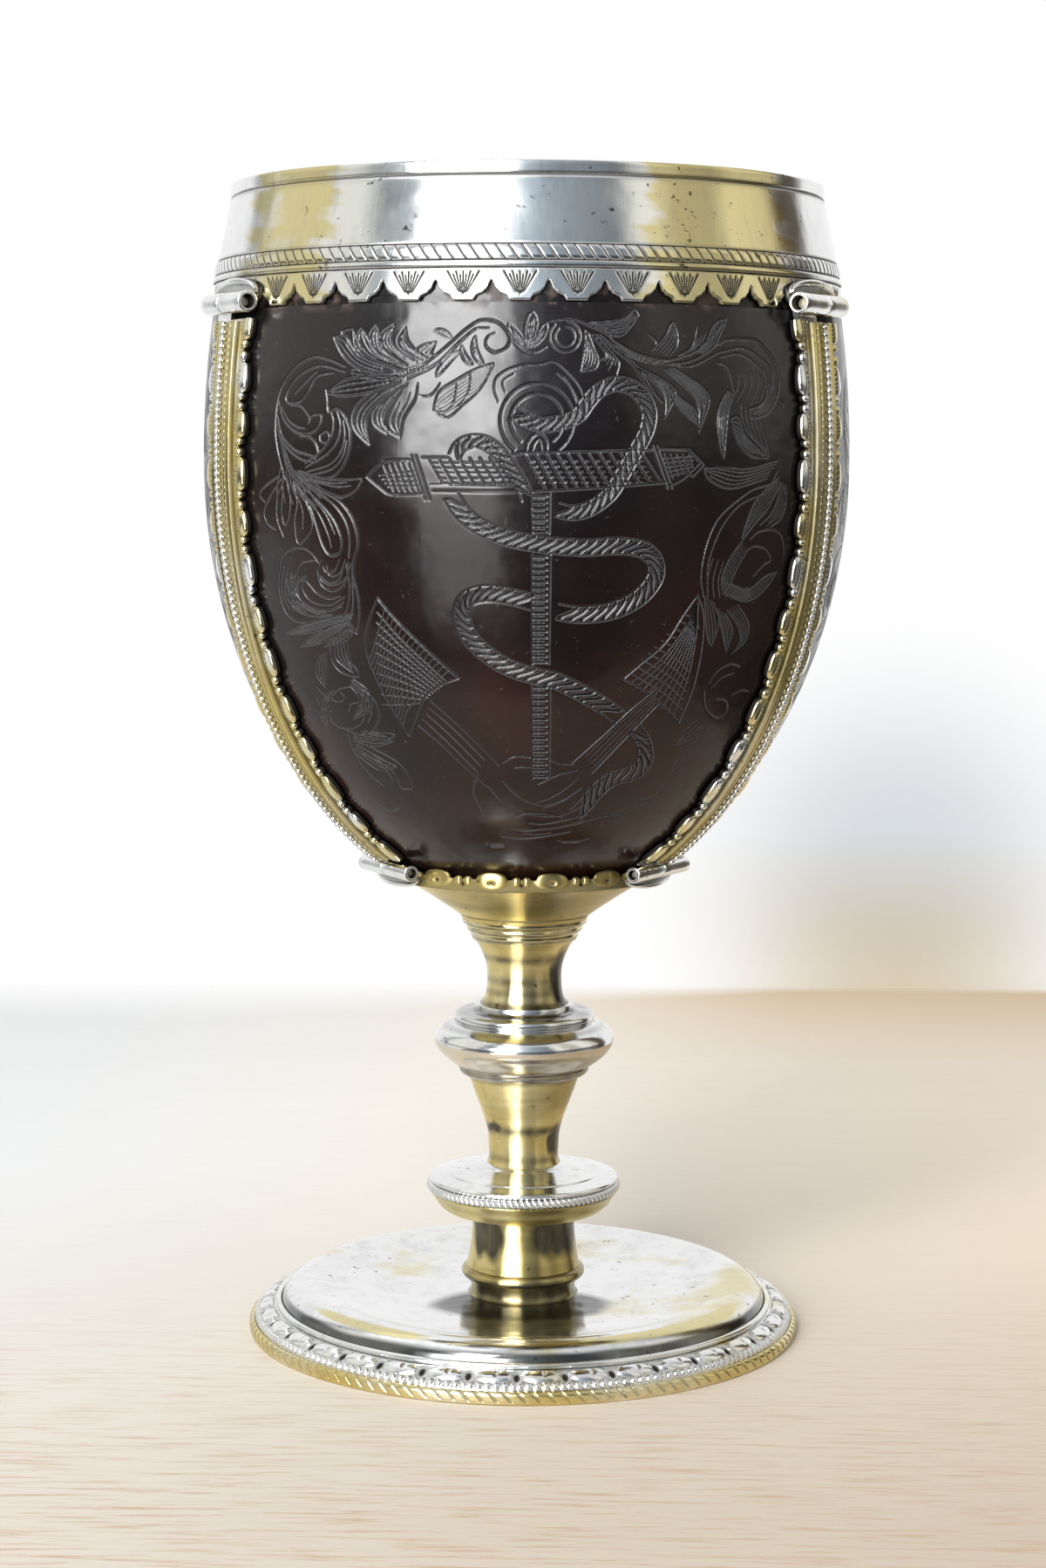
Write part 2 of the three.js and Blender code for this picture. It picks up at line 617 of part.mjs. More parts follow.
function buildStraps(calyxBorderRadius) {
  const upperLeafRadius = skirtRadius + seatGap;
  const upper = new THREE.Vector2(upperLeafRadius + upperBarrelRadius, skirtFoot + upperBarrelRise);
  const lowerLeafRadius = calyxBorderRadius + seatGap;
  const lower = new THREE.Vector2(lowerLeafRadius + lowerBarrelRadius, calyxRim + lowerBarrelRise);
  const run = strapRun(upper, lower);
  const startTrim = barrelTrim(run, upper, upperBarrelRadius, 0);
  const endTrim = barrelTrim(run, lower, lowerBarrelRadius, run.length);
  const stations = 2 * Math.round(run.length / strapPitch);
  const strapNames = ['right', 'back', 'left'];
  const firstStrapAngle = -30;
  const plate = geometryFrom(strapPlateSolid(run, startTrim, endTrim, upper, lower));
  const moulding = mouldingGeometry(run, startTrim, endTrim, stations);
  const beads = beadWireGeometry(run, startTrim, endTrim, stations);
  const upperClear = upper.y + upperBarrelRadius + seatGap;
  const upperLeaf = halfMoonLeaf(upperLeafRadius, upperBarrelLength, upperClear, upperClear + upperLeafRise)
    .add(barrelTab(upperLeafRadius, upperBarrelLength, upper.y, upperClear + joinOverlap))
    .add(crossBar(upper, upperBarrelRadius, seamGap / 2, upperBarrelLength / 2))
    .subtract(crossBar(upper, upperBarrelRadius - barrelWall, -upperBarrelLength, upperBarrelLength));
  const lowerClear = lower.y - lowerBarrelRadius - seatGap;
  const lowerLeaf = halfMoonLeaf(lowerLeafRadius, lowerLeafLength, lowerClear, lowerClear - lowerLeafRise)
    .add(barrelTab(lowerLeafRadius, lowerBarrelLength, lowerClear - joinOverlap, lower.y))
    .add(crossBar(lower, lowerBarrelRadius, seamGap / 2, lowerBarrelLength / 2))
    .subtract(crossBar(lower, lowerBarrelRadius - barrelWall, -lowerBarrelLength, lowerBarrelLength));
  const addPin = (name, at, barrelRadius, barrelLength, mount) => {
    const radius = barrelRadius - barrelWall - pinClearance;
    const shape = new THREE.CylinderGeometry(radius, radius, barrelLength - 2 * pinRecess, barrelFacets);
    addPiece(name, shape, wire, mount).position.set(at.x, 0, at.y);
  };
  strapNames.slice(0, strapCount).forEach((side, i) => {
    const mount = new THREE.Group();
    mount.rotation.z = THREE.MathUtils.degToRad(firstStrapAngle + (i / strapCount) * 360);
    cup.add(mount);
    addPiece(`strap_${side}`, plate, silver, mount);
    addPiece(`strap_moulding_${side}`, moulding, gilt, mount);
    addPiece(`strap_bead_wire_${side}`, beads, silver, mount);
    addPiece(`rim_hinge_leaf_${side}`, geometryFrom(upperLeaf), silver, mount);
    addPiece(`calyx_hinge_leaf_${side}`, geometryFrom(lowerLeaf), silver, mount);
    addPin(`upper_hinge_pin_${side}`, upper, upperBarrelRadius, upperBarrelLength, mount);
    addPin(`lower_hinge_pin_${side}`, lower, lowerBarrelRadius, lowerBarrelLength, mount);
  });
}

buildFoot();
buildStem();
const calyxBorderRadius = buildCalyx();
buildNut();
buildRim();
buildStraps(calyxBorderRadius);

export default cup;
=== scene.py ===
# Looks of the mounted coconut cup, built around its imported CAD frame
import json
import math

import bpy
import numpy as np
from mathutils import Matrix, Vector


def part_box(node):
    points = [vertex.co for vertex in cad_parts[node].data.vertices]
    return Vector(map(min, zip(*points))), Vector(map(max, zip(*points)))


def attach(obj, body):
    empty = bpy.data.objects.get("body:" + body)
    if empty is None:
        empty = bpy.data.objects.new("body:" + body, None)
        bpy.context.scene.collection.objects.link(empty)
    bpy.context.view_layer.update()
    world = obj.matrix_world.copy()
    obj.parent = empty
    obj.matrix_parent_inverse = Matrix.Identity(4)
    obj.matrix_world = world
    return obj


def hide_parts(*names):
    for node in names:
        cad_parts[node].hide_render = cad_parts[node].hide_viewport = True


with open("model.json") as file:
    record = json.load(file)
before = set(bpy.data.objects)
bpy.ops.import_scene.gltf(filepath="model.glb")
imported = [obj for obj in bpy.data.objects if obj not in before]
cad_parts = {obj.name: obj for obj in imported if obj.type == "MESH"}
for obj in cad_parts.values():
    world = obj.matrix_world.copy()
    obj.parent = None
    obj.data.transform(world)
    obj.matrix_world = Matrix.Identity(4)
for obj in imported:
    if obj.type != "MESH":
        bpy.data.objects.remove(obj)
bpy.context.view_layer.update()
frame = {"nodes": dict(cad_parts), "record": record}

MM = 0.001
BODY = "cup_body"
SIDES = {"right": -30.0, "back": 90.0, "left": 210.0}
TURN = 2 * math.pi


# Sizes read from the frame, in millimetres
def node_points(node):
    vertices = frame["nodes"][node].data.vertices
    points = np.empty(3 * len(vertices))
    vertices.foreach_get("co", points)
    return points.reshape(-1, 3) / MM


def foot_of(node):
    return node_points(node)[:, 2].min()


def top_of(node):
    return node_points(node)[:, 2].max()


def reach_of(node):
    points = node_points(node)
    return np.hypot(points[:, 0], points[:, 1]).max()


def hollow_of(node):
    points = node_points(node)
    return np.hypot(points[:, 0], points[:, 1]).min()


def unit(value):
    """The value held between 0 and 1."""
    return np.clip(value, 0, 1)


def turned(r, angle, z):
    """Points at radius r and height z, turned about the axis."""
    return np.stack(np.broadcast_arrays(r * np.cos(angle), r * np.sin(angle), z), -1)


# Meshes from grids of points
def signed_volume(points, faces):
    a, b, c = (points[faces[:, i]] for i in range(3))
    return np.einsum("ij,ij->i", a, np.cross(b, c)).sum() / 6


def mesh_from_grid(name, grid, wrap_rows=True, wrap_cols=True, poles=False, fields=None):
    """One closed mesh through rows of points. With poles, each row starts and ends on the axis."""
    rows, cols = grid.shape[:2]
    index = np.arange(rows * cols).reshape(rows, cols)
    if poles:
        index[:, 0] = index[0, 0]
        index[:, -1] = index[0, -1]
    if wrap_rows:
        index = np.vstack([index, index[:1]])
    if wrap_cols:
        index = np.hstack([index, index[:, :1]])
    quads = np.stack([index[:-1, :-1], index[1:, :-1], index[1:, 1:], index[:-1, 1:]], -1).reshape(-1, 4)
    tris = np.empty((0, 3), int)
    if poles:
        at_start = quads[:, 0] == quads[:, 1]
        at_end = quads[:, 2] == quads[:, 3]
        tris = np.vstack([quads[at_start][:, [0, 2, 3]], quads[at_end][:, [0, 1, 2]]])
        quads = quads[~(at_start | at_end)]
    if not wrap_rows:
        first, last = index[0], index[-1]
        count = cols if wrap_cols else len(first)
        fan = np.arange(1, count - 1)
        tris = np.vstack([
            tris,
            np.stack([np.full_like(fan, first[0]), first[fan], first[fan + 1]], -1),
            np.stack([np.full_like(fan, last[0]), last[fan + 1], last[fan]], -1),
        ])
    points = grid.reshape(-1, 3)
    return mesh_from_faces(name, points, quads, tris, fields)


def mesh_from_faces(name, points, quads, tris, fields=None):
    used, inverse = np.unique(np.concatenate([quads.ravel(), tris.ravel()]), return_inverse=True)
    quads = inverse[: quads.size].reshape(-1, 4)
    tris = inverse[quads.size:].reshape(-1, 3)
    points = points[used]
    halves = np.vstack([quads[:, [0, 1, 2]], quads[:, [0, 2, 3]], tris])
    if signed_volume(points, halves) < 0:
        quads = quads[:, ::-1]
        tris = tris[:, ::-1]
    mesh = bpy.data.meshes.new(name)
    mesh.vertices.add(len(points))
    mesh.vertices.foreach_set("co", (points * MM).astype(np.float32).ravel())
    corners = np.concatenate([quads.ravel(), tris.ravel()])
    mesh.loops.add(len(corners))
    mesh.loops.foreach_set("vertex_index", corners.astype(np.int32))
    starts = np.concatenate([np.arange(len(quads)) * 4, quads.size + np.arange(len(tris)) * 3])
    mesh.polygons.add(len(starts))
    mesh.polygons.foreach_set("loop_start", starts.astype(np.int32))
    mesh.polygons.foreach_set("use_smooth", np.ones(len(starts), bool))
    for field, values in (fields or {}).items():
        attribute = mesh.attributes.new(field, "FLOAT", "POINT")
        attribute.data.foreach_set("value", values.ravel()[used].astype(np.float32))
    mesh.update(calc_edges=True)
    mesh.validate()
    return mesh


def add_piece(name, mesh, material, replaces=(), body=BODY, sharp=None):
    if sharp is not None:
        mesh.set_sharp_from_angle(angle=math.radians(sharp))
    mesh.materials.append(material)
    piece = bpy.data.objects.new(name, mesh)
    bpy.context.scene.collection.objects.link(piece)
    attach(piece, body)
    if replaces:
        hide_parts(*replaces)
    return piece


# Outlines in the plane of radius and height
def rounded(corners, closed=False, steps=5):
    """Corners are (r, z) or (r, z, soft): soft is how far from the corner its rounding starts."""
    points = np.array([c[:2] for c in corners], float)
    soft = [c[2] if len(c) > 2 else 0.0 for c in corners]
    count = len(points)
    outline = []
    for i, point in enumerate(points):
        is_end = not closed and i in (0, count - 1)
        if is_end or soft[i] == 0:
            outline.append(point)
            continue
        before = points[i - 1] - point
        after = points[(i + 1) % count] - point
        reach = min(soft[i], 0.49 * np.linalg.norm(before), 0.49 * np.linalg.norm(after))
        start = point + before / np.linalg.norm(before) * reach
        end = point + after / np.linalg.norm(after) * reach
        for t in np.linspace(0, 1, steps):
            outline.append((1 - t) ** 2 * start + 2 * t * (1 - t) * point + t ** 2 * end)
    return np.array(outline)


def flowing(points, steps=8):
    """A smooth curve through the points."""
    points = np.array(points, float)
    padded = np.vstack([2 * points[0] - points[1], points, 2 * points[-1] - points[-2]])
    curve = []
    for i in range(1, len(padded) - 2):
        a, b, c, d = padded[i - 1: i + 3]
        for t in np.linspace(0, 1, steps, endpoint=False):
            bend = 2 * a - 5 * b + 4 * c - d
            twist = 3 * b - a - 3 * c + d
            curve.append(0.5 * (2 * b + (c - a) * t + bend * t ** 2 + twist * t ** 3))
    curve.append(points[-1])
    return np.array(curve)


def stepped(outline, step, closed=False):
    """The outline with no stretch longer than step."""
    outline = np.asarray(outline, float)
    ends = np.vstack([outline, outline[:1]]) if closed else outline
    points = []
    for a, b in zip(ends[:-1], ends[1:]):
        count = max(1, math.ceil(np.linalg.norm(b - a) / step))
        points.extend(a + (b - a) * t for t in np.arange(count) / count)
    if not closed:
        points.append(ends[-1])
    return np.array(points)


def outline_normals(outline, closed):
    """Unit normals to the right of the direction of travel."""
    if closed:
        along = np.roll(outline, -1, 0) - np.roll(outline, 1, 0)
    else:
        along = np.gradient(outline, axis=0)
    normals = np.stack([along[:, 1], -along[:, 0]], -1)
    return normals / np.maximum(np.linalg.norm(normals, axis=1, keepdims=True), 1e-9)


def revolved(name, outline, turns, relief=None, **tints):
    """The outline turned about the axis. Relief gives lift and recess, and each tint a share, at a point."""
    closed = outline[0][0] > 1e-6
    angle = (np.arange(turns) / turns * TURN)[:, None]
    r, z = outline[None, :, 0], outline[None, :, 1]
    lift = np.zeros((turns, len(outline)))
    fields = {}
    if relief is not None:
        lift, recess = relief(angle, r, z)
        fields["recess"] = np.broadcast_to(recess, lift.shape)
    for field, share in tints.items():
        fields[field] = np.broadcast_to(share(angle, r, z), lift.shape)
    normals = outline_normals(outline, closed)
    grid = turned(r + lift * normals[None, :, 0], angle, z + lift * normals[None, :, 1])
    return mesh_from_grid(name, grid, wrap_cols=closed, poles=not closed, fields=fields)


# Materials
WHITE = (1, 1, 1)
BLACK_TARNISH_AND_REFLECTION = (0.055, 0.058, 0.056)
BROWN_TARNISH_AND_SHADE = (0.16, 0.12, 0.05)
SILVER_RESIDUE_AND_SHADE = (0.012, 0.010, 0.008)
GILT_RESIDUE_AND_SHADE = (0.015, 0.012, 0.006)
PIN_RESIDUE = (0.03, 0.025, 0.02)
SHELL_BLACK = (0.004, 0.003, 0.0035)
SHELL_BROWN = (0.022, 0.008, 0.005)
SHELL_CRUST = (0.05, 0.032, 0.024)
SHELL_INSIDE = (0.075, 0.042, 0.026)
CUT_GREY = (0.07, 0.07, 0.075)
# Black of painted shade: the cores of the shell's cuts and the shadow along the straps
SHADE_BLACK = (0.002, 0.002, 0.002)
DUST = (0.1, 0.1, 0.1)


class Nodes:
    """A node tree: add() makes a node and joins inputs that are given as sockets."""

    def __init__(self, tree):
        self.nodes = tree.nodes
        self.links = tree.links

    def add(self, kind, inputs=(), **settings):
        node = self.nodes.new(kind)
        for key, value in settings.items():
            setattr(node, key, value)
        self.fill(node, inputs)
        return node

    def fill(self, node, inputs):
        for key, value in dict(inputs).items():
            if isinstance(value, bpy.types.NodeSocket):
                self.links.new(value, node.inputs[key])
            else:
                node.inputs[key].default_value = value

    def mix(self, factor, first, second):
        node = self.add("ShaderNodeMix", data_type="RGBA")
        self.fill(node, {0: factor, 6: self.colour(first), 7: self.colour(second)})
        return node.outputs[2]

    def colour(self, value):
        return value if isinstance(value, bpy.types.NodeSocket) else (*value, 1)

    def sums(self, operation, *values):
        node = self.add("ShaderNodeMath", operation=operation)
        self.fill(node, dict(enumerate(values)))
        return node.outputs[0]

    def vector(self, operation, *values):
        node = self.add("ShaderNodeVectorMath", operation=operation)
        self.fill(node, dict(enumerate(values)))
        return node.outputs["Value" if operation == "DISTANCE" else "Vector"]

    def ranged(self, value, low, high, to_low=0.0, to_high=1.0, **settings):
        inputs = {"Value": value, "From Min": low, "From Max": high, "To Min": to_low, "To Max": to_high}
        return self.add("ShaderNodeMapRange", inputs, **settings).outputs[0]

    def split(self, vector):
        return self.add("ShaderNodeSeparateXYZ", {"Vector": vector}).outputs


class Finish(Nodes):
    """A material's node tree, with the inputs and textures that the materials share."""

    def __init__(self, name):
        self.material = bpy.data.materials.new(name)
        self.material.use_nodes = True
        super().__init__(self.material.node_tree)

    def place(self, scale=(1, 1, 1)):
        source = self.add("ShaderNodeTexCoord")
        mapping = self.add("ShaderNodeMapping", {"Vector": source.outputs["Object"], "Scale": scale})
        return mapping.outputs[0]

    def noise(self, scale, detail=3.0, stretch=(1, 1, 1), roughness=0.5):
        inputs = {"Vector": self.place(stretch), "Scale": scale, "Detail": detail, "Roughness": roughness}
        return self.add("ShaderNodeTexNoise", inputs).outputs[0]

    def field(self, name):
        return self.add("ShaderNodeAttribute", attribute_name=name).outputs["Fac"]

    def bump(self, height, strength, distance, below=None):
        inputs = {"Height": height, "Strength": strength, "Distance": distance}
        if below is not None:
            inputs["Normal"] = below
        return self.add("ShaderNodeBump", inputs).outputs[0]

    def done(self, **inputs):
        shader = self.nodes["Principled BSDF"]
        self.fill(shader, {key.replace("_", " "): value for key, value in inputs.items()})
        return self.material


def shaded(colour, share):
    return tuple(share * part for part in colour)


def metal(name, clean, stained, stain_from, stain_to, dark, roughness, tarnish=0.0, brushed=0.0):
    """Worn plate on clean metal: ragged yellow stains, partly painted warm reflection; dark residue in its
    recesses, also painted shade under and inside parts; brown tarnish with painted shade towards the right;
    tarnish with painted dark reflections; specks and fine scratches.
    """
    finish = Finish(name)
    ragged = finish.sums("MULTIPLY", finish.noise(420, 4, (0.5, 0.5, 1)), 0.3)
    drift = finish.sums("ADD", finish.noise(48, 4, (1, 1, 0.6)), ragged)
    drift = finish.sums("ADD", drift, finish.sums("MULTIPLY", finish.field("stain"), 0.4))
    recess = finish.field("recess")
    skin = finish.mix(finish.ranged(drift, stain_from, stain_to), clean, stained)
    if tarnish:
        # Brown tarnish in patches, with painted shade added towards the right side
        right = finish.split(finish.vector("NORMALIZE", finish.place((1, 1, 0))))[0]
        patches = finish.noise(75, 4, (0.5, 0.5, 3.2))
        patches = finish.sums("ADD", patches, finish.sums("MULTIPLY", right, 0.14))
        skin = finish.mix(finish.ranged(patches, 0.46, 0.66, 0, tarnish), skin, BROWN_TARNISH_AND_SHADE)
    # Tarnish with painted dark reflections, from the field that the stem and the dome carry
    skin = finish.mix(finish.field("tarnish"), skin, BLACK_TARNISH_AND_REFLECTION)
    clouds = finish.ranged(finish.noise(130, 5), 0.5, 0.75, 0, 0.2)
    skin = finish.mix(clouds, skin, shaded(clean, 0.55))
    streaks = finish.ranged(finish.noise(330, 5, (1, 1, 0.16), 0.7), 0.5, 0.72, 0, 0.35)
    skin = finish.mix(streaks, skin, shaded(clean, 0.45))
    crowd = finish.ranged(finish.noise(70, 2), 0.42, 0.62, 0.0, 0.06)
    fleck = finish.sums("ADD", finish.noise(900, 5, (0.7, 0.7, 1), 0.65), crowd)
    skin = finish.mix(finish.ranged(fleck, 0.68, 0.73, 0, 0.8), skin, dark)
    # Residue in hollows, and painted shade where recess is set on undersides, insides and backs
    colour = finish.mix(recess, skin, dark)
    smudges = finish.ranged(finish.noise(160, 4), 0.3, 0.75, roughness, roughness + 0.1)
    rough = finish.sums("ADD", smudges, finish.sums("MULTIPLY", recess, 0.35))
    dents = finish.bump(finish.noise(120, 2), 0.25, 0.0004)
    lines = finish.bump(finish.noise(2600, 2, (0.05, 0.05, 1)), 0.05, 0.0001, dents)
    normal = finish.bump(finish.noise(1500, 2, (1, 0.3, 0.06)), 0.04, 0.0001, lines)
    bare = finish.ranged(recess, 0.25, 0.8, 1.0, 0.0)
    if brushed:
        grain = finish.add("ShaderNodeTangent", direction_type="RADIAL", axis="Z")
        finish.done(Anisotropic=brushed, Anisotropic_Rotation=0.25, Tangent=grain.outputs[0])
    looks = {"Base_Color": colour, "Metallic": bare, "Roughness": rough, "Normal": normal}
    return finish.done(Specular_IOR_Level=0.15, **looks)


def shell_material(name):
    """Polished shell: black above, red-brown below, with pale cuts whose cores are painted shade, painted
    shadow along the straps and a brown crust.
    """
    finish = Finish(name)
    height = finish.split(finish.place())[2]
    brown_share = finish.sums("MULTIPLY", finish.ranged(finish.noise(45, 4), 0.35, 0.7),
                              finish.ranged(height, 0.135, 0.09, 0.1, 1.0))
    skin = finish.mix(brown_share, SHELL_BLACK, SHELL_BROWN)
    crust = finish.ranged(finish.noise(330, 4), 0.5, 0.6)
    crust = finish.sums("MULTIPLY", finish.ranged(height, 0.1500, 0.1514), crust)
    skin = finish.mix(crust, skin, SHELL_CRUST)
    cut = finish.field("cut")
    skin = finish.mix(finish.ranged(cut, 0.1, 0.6), skin, CUT_GREY)
    # Painted shade: the cores of the cuts go black
    skin = finish.mix(finish.ranged(cut, 0.62, 0.9), skin, SHADE_BLACK)
    inside = finish.field("inside")
    skin = finish.mix(inside, skin, SHELL_INSIDE)
    # Painted shadow along the straps and beside the upper hinges: black, rougher and with little reflection
    strap_shade = finish.field("strap_shade")
    skin = finish.mix(strap_shade, skin, SHADE_BLACK)
    dust = finish.ranged(finish.noise(1500, 3), 0.68, 0.74, 0, 0.25)
    skin = finish.mix(dust, skin, DUST)
    rough = finish.ranged(finish.noise(200, 5), 0.3, 0.75, 0.16, 0.28)
    for field, share in ((cut, 0.12), (strap_shade, 0.4), (crust, 0.3), (inside, 0.4)):
        rough = finish.sums("ADD", rough, finish.sums("MULTIPLY", field, share))
    polish = finish.ranged(height, 0.135, 0.1, 0.5, 0.34)
    gloss = finish.sums("MULTIPLY", polish, finish.ranged(strap_shade, 0, 1, 1, 0.1))
    waves = finish.bump(finish.noise(70, 3), 0.5, 0.0009)
    scratches = finish.bump(finish.noise(900, 2, (1, 1, 0.08)), 0.08, 0.0001, waves)
    return finish.done(Base_Color=skin, Roughness=rough, Normal=scratches, Specular_IOR_Level=gloss)


silver = metal("worn_silver", (0.82, 0.83, 0.82), (0.70, 0.62, 0.34), 0.72, 0.86, SILVER_RESIDUE_AND_SHADE, 0.10)
gilt = metal("stained_silver", (0.76, 0.69, 0.46), (0.66, 0.54, 0.22), 0.5, 0.7, GILT_RESIDUE_AND_SHADE, 0.12)
old_gilt = metal("tarnished_silver", (0.83, 0.73, 0.42), (0.71, 0.57, 0.22), 0.45, 0.65, GILT_RESIDUE_AND_SHADE, 0.27,
                 tarnish=0.55, brushed=0.9)
worn_gilt = metal("worn_gilding", (0.80, 0.74, 0.64), (0.70, 0.60, 0.42), 0.45, 0.7, GILT_RESIDUE_AND_SHADE, 0.16,
                  tarnish=0.5)
pin_wire = metal("pin_wire", (0.52, 0.49, 0.41), (0.35, 0.30, 0.2), 0.6, 0.75, PIN_RESIDUE, 0.28)
shell = shell_material("coconut_shell")

SLOT_MATERIAL = {"silver": silver, "gilt_silver": gilt, "pin_wire": pin_wire, "coconut_shell": shell}


def dress_cad_nodes():
    for part in frame["record"]["subparts"]:
        mesh = frame["nodes"][part["node"]].data
        mesh.materials.clear()
        mesh.materials.append(SLOT_MATERIAL[part["material_slot"]])


dress_cad_nodes()


# Levels and radii that the pieces share, in millimetres
FOOT_RADIUS = reach_of("foot_edge_wire")
BORDER_RADIUS = reach_of("foot_border")
BORDER_INNER = hollow_of("foot_border")
BORDER_TOP = top_of("foot_border")
EDGE_TOP = top_of("foot_edge_wire")
DOME_EDGE = reach_of("foot_dome")
DOME_TOP = top_of("foot_dome")
PLATEAU = foot_of("stem_base")
DOME_FOLD = 23.4
# The dome has dents, and tarnish with painted dark reflections, only above this level
DOME_DENTS_AND_DARK_FOOT = 4.2
SHEET = 0.9

BORDER_REPEATS = 36
EDGE_CUTS = 128
FLANGE_CUTS = 98


def dome_shape(x, y, at, size):
    """A half ellipsoid's height share at (x, y): 1 over its centre, 0 outside it."""
    inside = 1 - ((x - at[0]) / size[0]) ** 2 - ((y - at[1]) / size[1]) ** 2
    return np.sqrt(np.clip(inside, 0, None))


def pit_shape(x, y, at, size):
    return np.exp(-(((x - at[0]) / size[0]) ** 2) - ((y - at[1]) / size[1]) ** 2)


def repeated(angle, count, radius):
    """Arc length in mm from the middle of the nearest of count equal repeats."""
    return ((angle / TURN * count) % 1 - 0.5) * TURN * radius / count


def cuts(distance, width):
    """A narrow round-bottomed groove's depth share at a distance from its line."""
    return np.exp(-((distance / width) ** 2))


def wobble(angle, z, size, seed):
    """Slow dents of hand-raised plate, as a sum of waves."""
    random = np.random.default_rng(seed)
    lift = 0
    for _ in range(9):
        turns = random.integers(4, 26)
        rise = random.uniform(-0.35, 0.35)
        phase = random.uniform(0, TURN)
        lift = lift + np.sin(turns * angle + rise * z + phase) / turns
    return size * lift * 3


def half_turn(degrees):
    """The same direction between -180 and 180 degrees."""
    return (degrees + 180) % 360 - 180


def from_aim(angle, aim):
    """Degrees from a direction that is aim degrees to the right of the front."""
    return half_turn(np.degrees(angle) + 90 - aim)


def border_relief(angle, r, z):
    across = BORDER_RADIUS - r
    arc = repeated(angle, BORDER_REPEATS, BORDER_RADIUS - 1.5)
    half_repeat = math.pi * (BORDER_RADIUS - 1.5) / BORDER_REPEATS
    lift = 0.5 * dome_shape(arc, across, (0, 1.95), (3.0, 1.2))
    lift = np.maximum(lift, 0.28 * dome_shape((arc / 1.2 % 1 - 0.5) * 1.2, across, (0, 0.38), (0.52, 0.4)))
    pits = 0.7 * pit_shape(arc, across, (0, 2.95), (1.6, 0.2))
    pits = pits + 0.5 * pit_shape(arc, across, (0.5, 1.9), (0.22, 0.45))
    for side in (-1, 1):
        pits = pits + 1.2 * pit_shape(arc, across, (side * half_repeat, 1.7), (0.5, 0.8))
        pits = pits + 0.8 * pit_shape(arc, across, (side * (half_repeat - 0.95), 2.3), (0.3, 0.22))
    on_top = unit((z - 1.7) / 0.3) * unit((across - 0.02) / 0.2)
    on_top = on_top * unit((3.15 - across) / 0.3)
    recess = unit(0.3 - lift * 2.0) * on_top
    return (lift - 0.35 * pits) * on_top, unit(recess + pits * on_top)


def wire_outline(node, steps):
    """A round wire's outline, the radius of its middle and its own radius."""
    low, high = foot_of(node), top_of(node)
    radius = (high - low) / 2
    middle = reach_of(node) - radius
    turn = np.linspace(0, TURN, steps, endpoint=False)
    outline = np.stack([middle + radius * np.cos(turn), low + radius + radius * np.sin(turn)], -1)
    return outline, middle, radius


def add_foot_border():
    under = BORDER_TOP - SHEET
    rest_inner = BORDER_RADIUS - 1.1
    outline = rounded([
        (rest_inner, 0), (BORDER_RADIUS, 0), (BORDER_RADIUS, EDGE_TOP, 0.3),
        (BORDER_RADIUS - 0.6, 2.75, 0.4), (BORDER_RADIUS - 1.8, 3.5, 0.6),
        (BORDER_RADIUS - 3.2, BORDER_TOP, 0.3), (BORDER_INNER, BORDER_TOP), (BORDER_INNER, under),
        (DOME_EDGE, under), (rest_inner, 1.27),
    ], closed=True)
    border = revolved("foot_border", stepped(outline, 0.13, True), BORDER_REPEATS * 40, border_relief)
    add_piece("foot_border_relief", border, silver, ["foot_border"], sharp=50)


def add_foot_wires():
    def edge_relief(angle, r, z):
        slant = 0.9 * (z - EDGE_TOP / 2) / FOOT_RADIUS
        groove = cuts(repeated(angle + slant, EDGE_CUTS, FOOT_RADIUS), 0.15)
        outside = unit((r - FOOT_RADIUS + 0.6) / 0.3) * unit((z - 0.35) / 0.25)
        return -0.2 * groove * outside, groove * outside

    inner = hollow_of("foot_edge_wire")
    edge = rounded([
        (inner, 0.05), (FOOT_RADIUS - 0.1, 0.05, 0.15), (FOOT_RADIUS - 0.04, 0.42, 0.05),
        (FOOT_RADIUS, 0.6, 0.3), (FOOT_RADIUS, 1.5, 0.35), (FOOT_RADIUS - 0.4, EDGE_TOP, 0.2),
        (inner, EDGE_TOP),
    ], closed=True)
    mesh = revolved("foot_edge_wire", stepped(edge, 0.14, True), EDGE_CUTS * 12, edge_relief)
    add_piece("foot_edge_rope", mesh, gilt, ["foot_edge_wire"])

    ring, _, _ = wire_outline("foot_inner_wire", 20)
    wire = revolved("foot_inner_wire", ring, 360)
    add_piece("foot_wire_ring", wire, silver, ["foot_inner_wire"])


